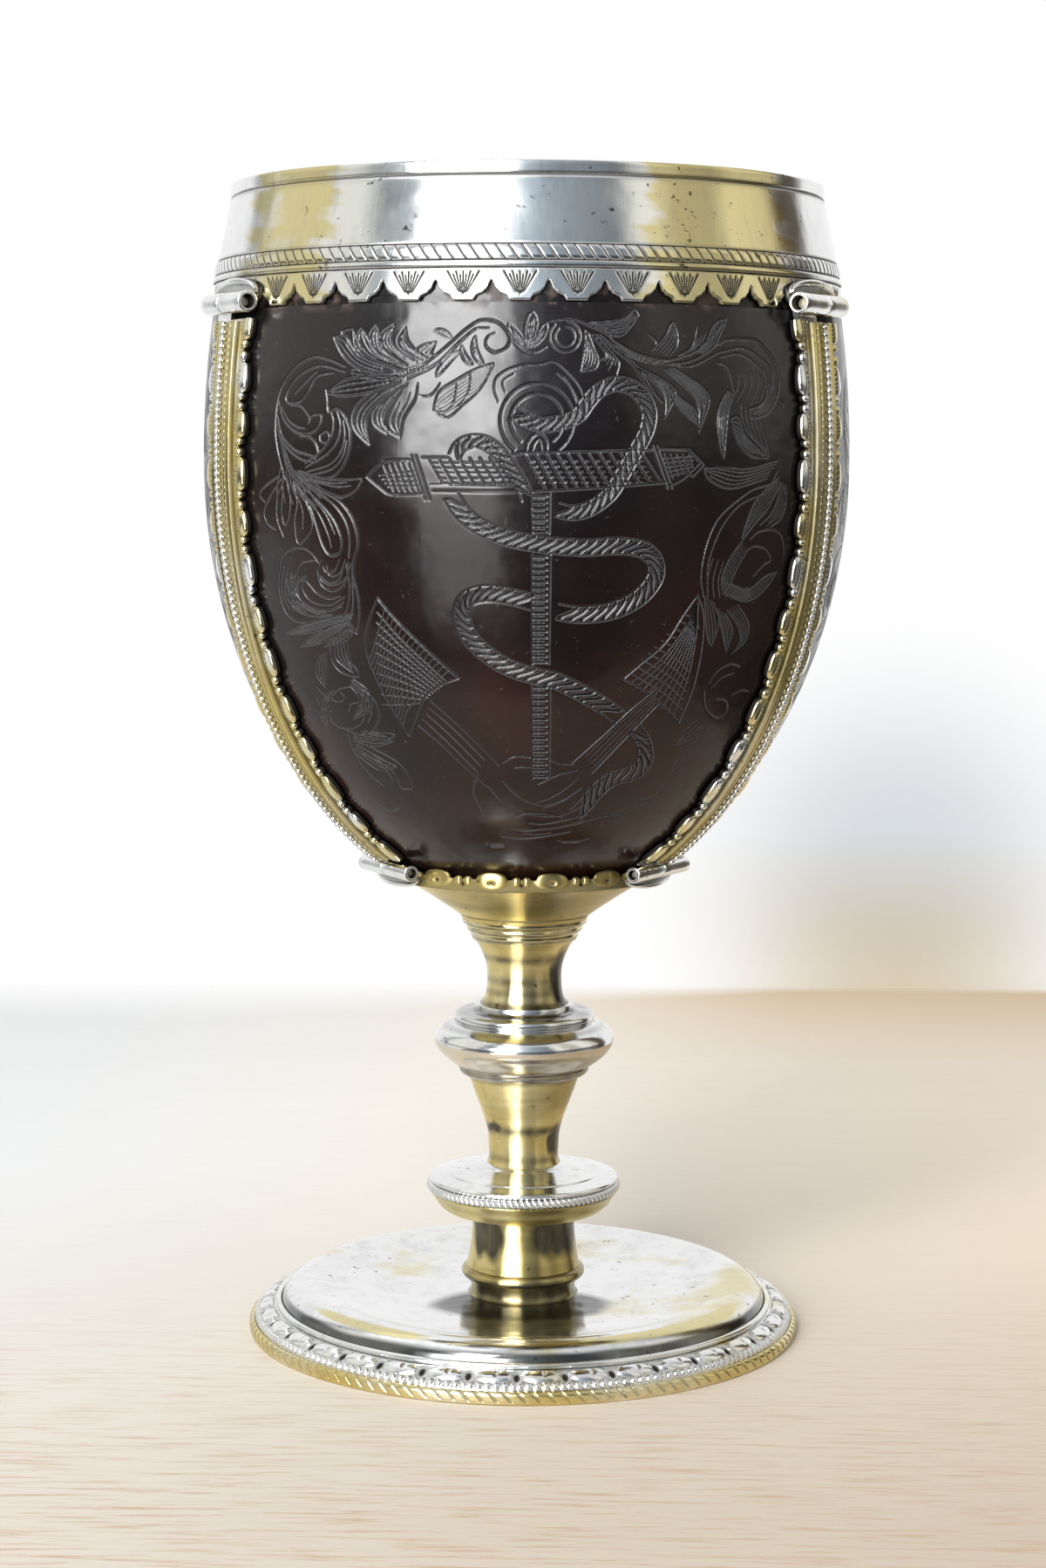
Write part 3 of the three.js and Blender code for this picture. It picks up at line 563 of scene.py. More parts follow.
def add_foot_dome():
    upper = flowing([
        (DOME_EDGE, BORDER_TOP + 0.1), (DOME_EDGE - 0.1, 4.7), (DOME_EDGE - 0.6, 5.7),
        (DOME_EDGE - 1.7, 6.6), (DOME_EDGE - 3.0, 7.02), (DOME_EDGE - 4.1, DOME_TOP),
        (DOME_EDGE - 5.4, 6.86), (DOME_EDGE - 6.9, 6.5), (DOME_EDGE - 8.0, 6.28), (DOME_FOLD, 5.62),
        (15, 5.1), (8, PLATEAU + 0.02), (4, PLATEAU), (0, PLATEAU),
    ], 7)
    lower = [
        (0, PLATEAU - SHEET), (DOME_FOLD, 4.6), (32.5, 6.2), (DOME_EDGE - SHEET, BORDER_TOP),
        (DOME_EDGE, BORDER_TOP),
    ]
    outline = np.vstack([stepped(lower, 1.5), upper])

    def dome_relief(angle, r, z):
        lift = wobble(angle, r, 0.025, 3) * (z > DOME_DENTS_AND_DARK_FOOT) * unit((r - 6) / 6)
        return lift, unit(1 - abs(r - DOME_EDGE) * 3) * (z < 4.6)

    # Yellow on the roll-over either side of the front: partly gilding, partly painted warm reflection
    def gilding_and_reflection(angle, r, z):
        left = unit(1.3 - np.abs(from_aim(angle, -42)) / 24)
        right = unit(1.3 - np.abs(from_aim(angle, 36)) / 26)
        return 1.3 * np.maximum(left, right) * unit(1.8 - np.abs(r - DOME_EDGE + 2.2) / 0.6)

    # Painted dark reflections with some tarnish: a crescent on the front of the roll-over and a pool in
    # front of the stem's foot
    def tarnish(angle, r, z):
        from_front = from_aim(angle, 0)
        front = unit((95 - np.abs(from_front)) / 25)
        rolled = unit((r - DOME_EDGE + 0.85 + wobble(angle, 0, 0.12, 9)) / 0.35)
        ahead = r * np.cos(np.radians(from_front)) - 8.5
        aside = r * np.sin(np.radians(from_front))
        reach = np.hypot(aside / 12.5, ahead / 8.5)
        round_stem = unit((1.15 - reach + wobble(angle, 0, 0.05, 5)) / 0.2)
        return np.maximum(0.9 * rolled * front, round_stem) * (z > DOME_DENTS_AND_DARK_FOOT)

    mesh = revolved("foot_dome", outline, 420, dome_relief, stain=gilding_and_reflection, tarnish=tarnish)
    add_piece("foot_dome_raised", mesh, silver, ["foot_dome"], sharp=60)


def turned_section(node, points, material, slot, **looks):
    """A solid turned section of the stem. Its points are shares of its reach and of its height."""
    low, high, reach = foot_of(node), top_of(node), reach_of(node)
    side = flowing([(reach * r, low + (high - low) * z) for r, z in points], 7)
    side[:, 0] = np.minimum(side[:, 0], reach)
    side[:, 1] = np.clip(side[:, 1], low, high)
    outline = np.vstack([[(0, low)], side, [(0, high)]])
    mesh = revolved(node, outline, STEM_TURNS, **looks)
    add_piece(node + "_turned", mesh, material, [node], sharp=38)


STEM_TURNS = 256
STEM_SECTIONS = {
    "stem_base": [(0.99, 0), (0.95, 0.12), (0.93, 0.35), (0.95, 0.7), (1, 1)],
    "drum_base_ring": [(0.9, 0), (0.965, 0.12), (1, 0.4), (1, 0.62), (0.965, 0.88), (0.9, 1)],
    "stem_drum": [(1, 0), (0.97, 0.16), (0.935, 0.4), (0.905, 0.66), (0.91, 0.84), (0.955, 1)],
    "flange_disc_lower": [
        (0.6, 0), (0.7, 0.04), (0.82, 0.18), (0.9, 0.42), (0.945, 0.72), (0.99, 0.95), (0.99, 1),
    ],
    "stem_cone": [
        (0.66, 0), (0.625, 0.07), (0.63, 0.2), (0.645, 0.34), (0.7, 0.48), (0.79, 0.64), (0.9, 0.82), (1, 1),
    ],
    "knop_lower": [
        (0.67, 0), (0.71, 0.08), (0.73, 0.2), (0.735, 0.3), (0.785, 0.34), (0.85, 0.46),
        (0.935, 0.66), (0.985, 0.85), (1, 1),
    ],
    "knop_upper": [
        (1, 0), (0.99, 0.14), (0.945, 0.3), (0.86, 0.44), (0.8, 0.5), (0.775, 0.53), (0.785, 0.62),
        (0.77, 0.74), (0.7, 0.8), (0.6, 0.82), (0.565, 0.87), (0.55, 1),
    ],
    "stem_neck": [
        (0.88, 0), (0.8, 0.08), (0.75, 0.22), (0.735, 0.4), (0.75, 0.58), (0.81, 0.74), (0.9, 0.89), (1, 1),
    ],
    "neck_ring": [
        (0.83, 0), (0.86, 0.2), (0.865, 0.38), (0.91, 0.44), (0.93, 0.56), (0.93, 0.7), (0.985, 0.8),
        (1, 0.9), (1, 1),
    ],
}


# Painted dark reflections with some tarnish, as lines round the stem: height, half thickness and darkness
STEM_LINES = {
    "stem_neck": [(56.6, 0.6, 0.75), (53.2, 0.6, 0.6), (51.4, 0.5, 0.5), (49.6, 0.5, 0.8)],
    "neck_ring": [(61.7, 0.25, 0.8), (60.7, 0.2, 0.8), (59.5, 0.35, 0.75)],
    "knop_upper": [(48.6, 0.6, 0.8), (47.0, 0.25, 0.7), (46.2, 0.3, 0.4)],
    "knop_lower": [(39.5, 1.0, 0.75)],
    "stem_cone": [(38.4, 0.35, 0.6), (30.6, 0.75, 0.95), (26.2, 0.6, 0.5)],
    "stem_base": [(5.9, 2.6, 0.88)],
    "drum_base_ring": [(7.7, 0.9, 0.95), (9.0, 0.4, 0.6)],
}
# Painted dark reflections with some tarnish, as black patches on the stem: angle to the right of the front
# in degrees, height, and half sizes
STEM_PATCHES = {
    "stem_drum": [(-47, 14.9, 31, 3.9), (46, 15.0, 40, 3.8), (145, 15.5, 60, 2.6)],
    "stem_neck": [(66, 53.5, 24, 5.2)],
    "stem_cone": [(64, 28.8, 26, 2.8), (-50, 31.0, 20, 0.8)],
}


def patch_share(angle, z, ragged, patch):
    aim, height, wide, tall = patch
    return unit(2.8 * ragged - 2.6 * np.hypot(from_aim(angle, aim) / wide, (z - height) / tall))


def add_stem():
    slots = {part["node"]: part["material_slot"] for part in frame["record"]["subparts"]}
    for node, points in STEM_SECTIONS.items():
        slot = slots[node]

        def dents(angle, r, z):
            return wobble(angle, z, 0.012, len(node)), 0.0

        # Painted dark reflections with some tarnish: the stem's lines and patches
        def tarnish(angle, r, z):
            dark = 0 * (angle + z)
            for height, half, share in STEM_LINES.get(node, []):
                uneven = 0.85 + wobble(angle, z * 0.5, 0.2, round(height))
                dark = np.maximum(dark, share * np.exp(-((z - height) / half) ** 2) * uneven)
            ragged = 1 + wobble(angle, z * 4, 0.2, 41)
            for patch in STEM_PATCHES.get(node, []):
                dark = np.maximum(dark, 0.93 * patch_share(angle, z, ragged, patch))
            return unit(dark)

        def stain(angle, r, z):
            return 0.8 if node == "neck_ring" else 0.0

        material = old_gilt if slot == "gilt_silver" else SLOT_MATERIAL[slot]
        if node == "knop_lower":
            material = worn_gilt
        turned_section(node, points, material, slot, relief=dents, tarnish=tarnish, stain=stain)
    add_flange_wire()
    add_upper_flange()


def add_flange_wire():
    ring, middle, radius = wire_outline("flange_rope_wire", 22)
    low = foot_of("flange_rope_wire")

    def milled(angle, r, z):
        slant = 0.45 * (z - low - radius) / middle
        groove = cuts(repeated(angle + slant, FLANGE_CUTS, middle + radius), 0.16)
        outside = unit((r - middle) / 0.3)
        return -0.2 * groove * outside, groove * outside * 0.8

    mesh = revolved("flange_rope_wire", ring, FLANGE_CUTS * 10, milled)
    add_piece("flange_milled_wire", mesh, silver, ["flange_rope_wire"])


def add_upper_flange():
    low, high = foot_of("flange_disc_upper"), top_of("flange_disc_upper")
    wire_top = top_of("flange_rope_wire")
    seat = reach_of("flange_disc_upper")
    rim = reach_of("flange_rope_wire") - 0.35
    cone_foot = 5.6
    outline = rounded([
        (0, low), (seat - 0.6, low), (seat - 0.6, wire_top + 0.02, 0.1), (rim - 0.25, wire_top + 0.05, 0.1),
        (rim, wire_top + 0.35, 0.2), (rim - 0.15, wire_top + 0.75, 0.3), (rim - 1.3, wire_top + 0.95, 0.5),
        (rim - 2.6, wire_top + 1.2, 0.3), (rim - 2.75, wire_top + 1.45, 0.15),
        (rim - 3.6, wire_top + 1.5, 0.4), (8.2, wire_top + 1.85, 1.2), (6.6, wire_top + 2.2, 0.5),
        (6.2, high - 0.15, 0.2), (cone_foot, high, 0.1), (0, high),
    ])
    mesh = revolved("flange_disc_upper", outline, STEM_TURNS)
    add_piece("flange_disc_turned", mesh, silver, ["flange_disc_upper"], sharp=38)


CALYX_LOBES = 15
CALYX_RIM = top_of("calyx")
CALYX_FOOT = foot_of("calyx")
CALYX_RADIUS = reach_of("calyx")


def add_calyx():
    ring = reach_of("neck_ring")
    under_rim = (19.4, 69.0)
    foot = rounded([
        (0, CALYX_FOOT), (ring, CALYX_FOOT, 0.1), (ring + 0.12, CALYX_FOOT + 0.35, 0.2),
        (ring + 0.3, CALYX_FOOT + 0.62, 0.15), (ring + 0.75, CALYX_FOOT + 0.95),
    ])
    flare = flowing([
        (ring + 0.8, CALYX_FOOT + 1.0), (11.4, 64.15), (13.1, 65.3), (15.3, 66.75), (17.8, 68.2), under_rim,
    ])
    rim_and_inside = rounded([
        under_rim, (CALYX_RADIUS - 0.1, 69.3, 0.3), (CALYX_RADIUS, CALYX_RIM, 0.2),
        (CALYX_RADIUS - 1.4, CALYX_RIM, 0.2), (16.9, 68.8, 0.5), (14, 66.9, 1), (5.6, CALYX_FOOT + SHEET, 1),
        (0, CALYX_FOOT + SHEET),
    ])

    def relief(angle, r, z):
        groove = unit(1 - abs(z - CALYX_FOOT - 0.75) * 4) * (r > 9.5)
        return wobble(angle, r, 0.02, 11) * (r > 9), groove

    mesh = revolved("calyx", np.vstack([foot, flare, rim_and_inside]), 360, relief)
    add_piece("calyx_dish", mesh, old_gilt, ["calyx"], sharp=60)
    add_calyx_border()


def add_calyx_border():
    """A stamped strip round the calyx's rim: a broad lobe and two beads in each repeat."""
    low = foot_of("calyx_border")
    inner, outer = hollow_of("calyx_border"), reach_of("calyx_border")
    columns = CALYX_LOBES * 64
    rows, back_rows = 26, 6
    angle = np.arange(columns) / columns * TURN
    arc = repeated(angle + TURN / CALYX_LOBES / 2 - math.pi / 2, CALYX_LOBES, outer)
    pitch = TURN * outer / CALYX_LOBES
    beads = [-pitch / 2 + 0.75, pitch / 2 - 0.75]
    lobe_top = 1.05 * dome_shape(arc, 0, (0, 0), (2.25, 1)) ** 0.7
    bead_tops = sum(0.42 * dome_shape(arc, 0, (at, 0), (0.66, 1)) for at in beads)
    top = low + 1.75 + np.maximum(lobe_top, bead_tops)
    share = np.linspace(0, 1, rows)[None, :]
    z = low + (top[:, None] - low) * share
    up = z - low
    side = arc[:, None]
    lift = np.maximum(
        0.45 * dome_shape(side, up, (0, 1.7), (2.7, 1.3)),
        np.maximum.reduce([0.42 * dome_shape(side, up, (at, 1.55), (0.62, 0.62)) for at in beads]),
    )
    lift = lift * (0.85 + 0.25 * np.sin(angle * 7 + 1) * np.cos(angle * 3))[:, None]
    pit = pit_shape(side, up, (0, 1.35), (0.55, 0.4)) + pit_shape(side, up, (pitch / 2, 1.5), (0.25, 0.5))
    pit = pit + pit_shape(side, up, (-pitch / 2, 1.5), (0.25, 0.5))
    front = inner + 0.25 + lift - 0.35 * pit - 0.12 * (share > 0.97) - 0.1 * (share < 0.03)
    recess = unit(unit(0.8 - lift * 2.6) + pit)
    back = np.full((columns, back_rows), inner)
    back_z = low + (top[:, None] - low) * np.linspace(1, 0, back_rows)[None, :]
    grid = turned(np.hstack([front, back]), angle[:, None], np.hstack([z, back_z]))
    # The strip's back gets painted shade
    recess = np.hstack([recess, np.full(back.shape, 0.5)])
    mesh = mesh_from_grid("calyx_border", grid, fields={"recess": recess})
    add_piece("calyx_border_stamped", mesh, old_gilt, ["calyx_border"], sharp=60)


# Rim mount
SKIRT_TONGUES = 38
ROPE_CUTS = 164
SKIRT_FOOT = foot_of("rim_collar") - 0.3
LIP_FOOT = foot_of("lip_ring")
LIP_TOP = top_of("lip_ring")
LIP_RADIUS = reach_of("lip_ring")
SKIRT_RADIUS = reach_of("rim_collar")
COLLAR_SHEET = 0.85
SKIRT_TOP = SKIRT_FOOT + 4.4
MOULDING_TOP = SKIRT_TOP + 1.1
ROPE_TOP = MOULDING_TOP + 2.05
# Level inside the collar where its plain band steps in over the flange of the sleeve
COLLAR_LEDGE = SKIRT_TOP + 2.75


def tongue_cut(arc):
    """How far the skirt's edge stands above the tongues' feet, at an arc length from a tongue's middle."""
    stops = [0, 1.4, 1.45, 1.7, 1.78, 2.3, 2.7, 2.8, 3.2, 3.55, 3.85]
    rises = [0, 0, 0.1, 0.55, 0.62, 0.85, 1.0, 1.2, 1.5, 2.4, 2.7]
    return np.interp(np.abs(arc), stops, rises)


def collar_radius(z):
    """The collar's outer radius at a height: skirt, moulding, rope band, then the plain band drawing in."""
    skirt = [(SKIRT_FOOT, 0), (SKIRT_TOP - 0.05, 0.34), (SKIRT_TOP + 0.02, 0.42)]
    moulding = [
        (SKIRT_TOP + 0.16, 0.16), (SKIRT_TOP + 0.55, 0.12), (MOULDING_TOP - 0.16, 0.2),
        (MOULDING_TOP - 0.02, 0.5),
    ]
    rope = [
        (MOULDING_TOP + 0.12, 0.42), (MOULDING_TOP + 0.55, 0.36), (ROPE_TOP - 0.55, 0.46),
        (ROPE_TOP - 0.12, 0.66),
    ]
    band = [
        (ROPE_TOP, COLLAR_SHEET + 0.06), (ROPE_TOP + 0.12, COLLAR_SHEET + 0.02),
        (LIP_FOOT, SKIRT_RADIUS - LIP_RADIUS),
    ]
    levels, insets = np.array(skirt + moulding + rope + band).T
    return SKIRT_RADIUS - np.interp(z, levels, insets)


def fan_cuts(arc, z):
    """Nine gouges on each tongue that meet near its foot and spread upwards like a shell."""
    rise = z - SKIRT_FOOT - 0.2
    distance = np.hypot(arc, rise)
    turn = np.arctan2(arc, rise)
    depth = np.zeros(np.broadcast(arc, z).shape)
    for i in range(-4, 5):
        aim = math.radians(7.5 * i)
        length = 4.0 / math.cos(aim) - (0.45 if i % 2 else 0)
        aside = distance * np.abs(np.sin(turn - aim))
        run = unit((distance - 0.4 - 0.12 * abs(i)) / 0.4) * unit((length - distance) / 0.3)
        depth = np.maximum(depth, cuts(aside, 0.045 + 0.036 * distance) * run * (rise > 0))
    return depth


def band_stain(angle, z):
    """More yellow towards both sides of the front, and less elsewhere: partly staining, partly painted warm
    reflection.
    """
    ragged = 0.03 * np.sin(1.4 * z + 9 * angle) + 0.015 * np.sin(4.1 * z + 31 * angle)
    from_front = np.radians(from_aim(angle, 0)) + ragged
    left = unit(1.7 - np.abs(from_front + 0.83) / 0.19)
    right = unit(1.8 - np.abs(from_front - 0.66) / 0.2)
    return 1.1 * np.maximum(left, right) - 0.25


def add_collar():
    columns = SKIRT_TONGUES * 84
    angle = (np.arange(columns) / columns * TURN)[:, None]
    arc = repeated(angle - math.pi / 2 + TURN / SKIRT_TONGUES / 2, SKIRT_TONGUES, SKIRT_RADIUS)
    foot = SKIRT_FOOT + 0.12 + tongue_cut(arc)
    skirt = foot + (SKIRT_TOP - foot) * np.linspace(0, 1, 36)[None, :]
    upper_levels = np.concatenate([
        SKIRT_TOP + np.array([0.04, 0.1, 0.2, 0.55, 0.85, 0.98, 1.06]),
        np.linspace(MOULDING_TOP, ROPE_TOP, 17),
        ROPE_TOP + np.array([0.08, 0.2, 0.5]),
        np.linspace(ROPE_TOP + 1, LIP_FOOT, 18),
    ])
    outer_z = np.hstack([skirt, np.broadcast_to(upper_levels, (columns, len(upper_levels)))])
    outer_r = collar_radius(outer_z)
    rise = outer_z - (MOULDING_TOP + ROPE_TOP) / 2
    slant = (0.8 * rise - 0.06 * np.sin(3 * rise)) / SKIRT_RADIUS
    rope_phase = repeated(angle + slant, ROPE_CUTS, SKIRT_RADIUS)
    in_rope = unit((outer_z - MOULDING_TOP - 0.08) / 0.14) * unit((ROPE_TOP - 0.08 - outer_z) / 0.14)
    rope = cuts(rope_phase, 0.17) * in_rope
    in_skirt = unit((SKIRT_TOP - 0.05 - outer_z) / 0.1)
    fans = fan_cuts(arc, outer_z) * in_skirt
    above = unit((outer_z - foot) / 0.25)
    plain = unit((outer_z - ROPE_TOP) / 1.5)
    lift = -0.1 * rope - 0.05 * fans * above - 0.16 * (1 - above) ** 2
    lift = lift + wobble(angle, outer_z, 0.03, 7) * (0.3 + plain)
    lines = ((SKIRT_TOP + 0.03, 0.14), (MOULDING_TOP - 0.02, 0.15), (ROPE_TOP + 0.03, 0.15))
    line = np.maximum.reduce([cuts(outer_z - level, width) for level, width in lines])
    under_lip = cuts(outer_z - LIP_FOOT, 0.3)
    recess = unit(1.7 * rope + 1.6 * fans + 1.5 * line + 1.2 * under_lip + 0.6 * (1 - above))
    inner_foot = np.hstack([foot, foot + 0.5 * (SKIRT_TOP - foot)])
    inner_levels = [LIP_FOOT, LIP_FOOT - 3, LIP_FOOT - 6, COLLAR_LEDGE, COLLAR_LEDGE]
    inner_z = np.hstack([np.broadcast_to(inner_levels, (columns, 5)), inner_foot[:, ::-1]])
    band_inner = SKIRT_RADIUS - 2 * COLLAR_SHEET
    slope = (LIP_RADIUS - COLLAR_SHEET - band_inner) / (LIP_FOOT - COLLAR_LEDGE)
    inner_r = np.hstack([
        band_inner + slope * (inner_z[:, :4] - COLLAR_LEDGE),
        np.full((columns, 3), SKIRT_RADIUS - COLLAR_SHEET),
    ])
    z = np.hstack([outer_z, inner_z])
    # The collar's inner faces get painted shade
    fields = {"recess": np.hstack([recess, np.full(inner_r.shape, 0.3)]), "stain": band_stain(angle, z)}
    grid = turned(np.hstack([outer_r + lift, inner_r]), angle, z)
    mesh = mesh_from_grid("rim_collar", grid, fields=fields)
    add_piece("rim_collar_cut", mesh, silver, ["rim_collar"], sharp=55)


def add_lip():
    inner = hollow_of("lip_ring")
    outline = rounded([
        (inner, LIP_FOOT), (LIP_RADIUS - 0.18, LIP_FOOT, 0.05), (LIP_RADIUS - 0.14, LIP_FOOT + 0.16, 0.08),
        (LIP_RADIUS, LIP_FOOT + 0.28, 0.12), (LIP_RADIUS, LIP_TOP - 0.05, 0.5),
        (LIP_RADIUS - 0.6, LIP_TOP, 0.4), (inner + 0.4, LIP_TOP, 0.4), (inner, LIP_TOP - 0.4, 0.3),
    ], closed=True)

    def relief(angle, r, z):
        outside = r > inner + 1
        return wobble(angle, z, 0.012, 21) * outside, unit(1 - abs(z - LIP_FOOT - 0.05) * 6) * outside

    def stain(angle, r, z):
        return band_stain(angle, z)

    mesh = revolved("lip_ring", stepped(outline, 0.3, True), 720, relief, stain=stain)
    add_piece("lip_band", mesh, silver, ["lip_ring"], sharp=50)


def add_sleeve():
    low, top = foot_of("rim_seat_sleeve"), top_of("rim_seat_sleeve")
    inner, flange = hollow_of("rim_seat_sleeve"), reach_of("rim_seat_sleeve")
    outer = inner + 0.6
    flange_top = top - (LIP_FOOT - COLLAR_LEDGE)
    flange_foot = flange_top - 0.9
    outline = rounded([
        (inner, low, 0.15), (outer, low, 0.15), (outer, flange_foot, 0.1), (flange, flange_foot, 0.1),
        (flange, flange_top, 0.1), (outer, flange_top, 0.1), (outer, top), (inner, top),
    ], closed=True)
    mesh = revolved("rim_seat_sleeve", stepped(outline, 1.2, True), 360)
    add_piece("rim_sleeve", mesh, silver, ["rim_seat_sleeve"], sharp=45)


# Nut: an ellipse below its widest level and a longer one above it
NUT_POINTS = node_points("coconut_bowl")
NUT_REACHES = np.hypot(NUT_POINTS[:, 0], NUT_POINTS[:, 1])
NUT_RADIUS = NUT_REACHES.max()
NUT_MIDDLE = NUT_POINTS[NUT_REACHES.argmax(), 2]
NUT_LOWER = NUT_MIDDLE - foot_of("coconut_bowl")
NUT_MOUTH = top_of("coconut_bowl")
REBATE_RADIUS = NUT_REACHES[NUT_POINTS[:, 2] > NUT_MOUTH - 0.01].max()
REBATE_Z = NUT_POINTS[NUT_REACHES > REBATE_RADIUS + 0.5, 2].max()
SHOULDER_RADIUS = NUT_REACHES[NUT_POINTS[:, 2] > REBATE_Z - 0.01].max()
NUT_UPPER = (REBATE_Z - NUT_MIDDLE) / math.sqrt(1 - (SHOULDER_RADIUS / NUT_RADIUS) ** 2)
NUT_WALL = 3.4
# Level of the lowest engraving, above which the nut's mesh is fine
ENGRAVING_FOOT = 77.0


def nut_depth(angle):
    return np.where(angle < 0, NUT_LOWER, NUT_UPPER)


def nut_surface(angle, lift=0.0):
    """Radius and height at an angle of the nut's ellipse, moved out by lift, and the radius with no lift."""
    depth = nut_depth(angle)
    nr, nz = np.cos(angle) / NUT_RADIUS, np.sin(angle) / depth
    size = np.hypot(nr, nz)
    base = NUT_RADIUS * np.cos(angle)
    return base + lift * nr / size, NUT_MIDDLE + depth * np.sin(angle) + lift * nz / size, base


def nut_angle(z):
    depth = np.where(z < NUT_MIDDLE, NUT_LOWER, NUT_UPPER)
    return np.arcsin(np.clip((z - NUT_MIDDLE) / depth, -1, 1))


# Straps
def pin_axis(name):
    """Radius and height of a hinge pin's axis, and half of its length, from the pin at the back."""
    low, high = (np.array(corner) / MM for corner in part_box(name + "_back"))
    middle = (low + high) / 2
    return middle[1], middle[2], (high[0] - low[0]) / 2, (high[2] - low[2]) / 2


UPPER_R, UPPER_Z, UPPER_HALF, UPPER_PIN = pin_axis("upper_hinge_pin")
LOWER_R, LOWER_Z, LOWER_HALF, LOWER_PIN = pin_axis("lower_hinge_pin")
PIN_RECESS = 0.6
PIN_CLEARANCE = 0.15
BARREL_WALL = 0.55
SEAM = 0.3
BARREL_SHIFT = {"left": 0.9, "right": -0.9, "back": 0.0}
STRAP_LIFT = 0.3
STRAP_PLATE = 0.65
STRAP_PITCH = 6.6
STRAP_HALF_WIDTH = 5.15
STRAP_NARROWING = 1.25
# Where the two beads of each repeat stand, in mm from the middle of its lobe
STRAP_BEADS = (-2.5, 2.5)


def strap_run():
    """Angles on the nut's ellipse between the feet of the two hinges, and the length down to each."""
    angles = np.linspace(nut_angle(UPPER_Z), 0.1 - math.pi / 2, 4000)
    r, z, _ = nut_surface(angles)
    first = np.argmin(np.hypot(r - UPPER_R, z - UPPER_Z))
    last = np.argmin(np.hypot(r - LOWER_R, z - LOWER_Z))
    r, z, angles = r[first:last + 1], z[first:last + 1], angles[first:last + 1]
    lengths = np.concatenate([[0], np.cumsum(np.hypot(np.diff(r), np.diff(z)))])
    return angles, lengths


RUN_ANGLES, RUN_LENGTHS = strap_run()
RUN = RUN_LENGTHS[-1]
PERIODS = round(RUN / STRAP_PITCH)


def on_strap(distance, across, lift, side):
    """Points at a distance down the strap's run, a distance across it and a lift off the nut."""
    angle = np.interp(distance, RUN_LENGTHS, RUN_ANGLES)
    r, z, base = nut_surface(angle, lift)
    return turned(r, math.radians(side) + across / base, z)


def base_half_width(distance):
    return STRAP_HALF_WIDTH - STRAP_NARROWING * distance / RUN


def edge_phase(distance):
    """Place in the edge pattern, in mm from the middle of a broad lobe. The repeats are slightly uneven."""
    uneven = 0.35 * np.sin(distance * 0.41) + 0.25 * np.sin(distance * 0.93 + 1)
    share = (distance + uneven) / RUN * PERIODS
    return ((share % 1) - 0.5) * RUN / PERIODS


def strap_edge(distance):
    """How far the stamped lobes and beads stand out from the strap's edge, less a notch at each joint."""
    s = edge_phase(distance)
    lobe = 1.3 * dome_shape(s, 0, (0, 0), (1.8, 1)) ** 0.6
    beads = sum(0.5 * dome_shape(s, 0, (at, 0), (0.66, 1)) for at in STRAP_BEADS)
    notch = 0.35 * cuts(np.abs(s) - RUN / PERIODS / 2, 0.25)
    return np.maximum(lobe, beads) - notch


def strap_relief(distance, across):
    """Lift of the strap's stamped face above its plate, and its recess."""
    s = edge_phase(distance)
    out = np.abs(across) - base_half_width(distance)
    lobe = 0.34 * dome_shape(s, out, (0, 0.1), (1.75, 1.35))
    beads = np.maximum(*(0.34 * dome_shape(s, out, (at, -0.12), (0.66, 0.62)) for at in STRAP_BEADS))
    lift = np.maximum(lobe, beads)
    bow = out + 0.62 - 0.3 * (s / 1.5) ** 2
    hollow = cuts(bow, 0.34) * unit((1.55 - np.abs(s)) / 0.3)
    hatch = hollow * (0.62 + 0.38 * np.cos(s * TURN / 0.5))
    half_pitch = RUN / PERIODS / 2
    notch = cuts(np.abs(s) - half_pitch, 0.2) * unit((out + 0.9) / 0.5)
    between = cuts(np.abs(s) - 1.85, 0.14) * unit((out + 0.5) / 0.4)
    recess = unit(1.2 * hatch + 1.1 * notch + 0.6 * between)
    return lift - 0.2 * hatch - 0.2 * notch, recess


def add_strap(name, side):
    trim_top, trim_foot = 2.1, 1.7
    distance = np.linspace(trim_top, RUN - trim_foot, 860)[:, None]
    half = base_half_width(distance) + strap_edge(distance)
    stamped = np.linspace(0.52, 1, 26)
    share = np.concatenate([-stamped[::-1], np.linspace(-0.46, 0.46, 5), stamped])
    across = half * share
    lift, recess = strap_relief(distance, across)
    edge = unit((1 - np.abs(share)) / 0.05)
    top = STRAP_LIFT + STRAP_PLATE + (0.14 + lift) * np.sqrt(edge)
    hidden = np.abs(share) < 0.5
    top = np.where(hidden, STRAP_LIFT + STRAP_PLATE, top)
    under_share = np.array([1, 1, 0.6, 0, -0.6, -1, -1])[None, :]
    under = np.full((len(distance), 7), STRAP_LIFT)
    under[:, [0, -1]] = STRAP_LIFT + STRAP_PLATE - 0.12
    grid = on_strap(distance, np.hstack([across, half * under_share]), np.hstack([top, under]), side)
    drift = 0.55 + 0.45 * np.sin(distance * 0.35 + 1) * np.sin(distance * 0.13)
    stain = np.broadcast_to(drift, (len(distance), len(share) + 7))
    # The strap's sides and underside get painted shade
    fields = {"recess": np.hstack([recess, np.ones(under.shape)]), "stain": stain}
    mesh = mesh_from_grid("strap_" + name, grid, wrap_rows=False, fields=fields)
    add_piece("strap_stamped_" + name, mesh, silver, ["strap_" + name], sharp=60)
    add_strap_tabs(name, side, trim_top, trim_foot)


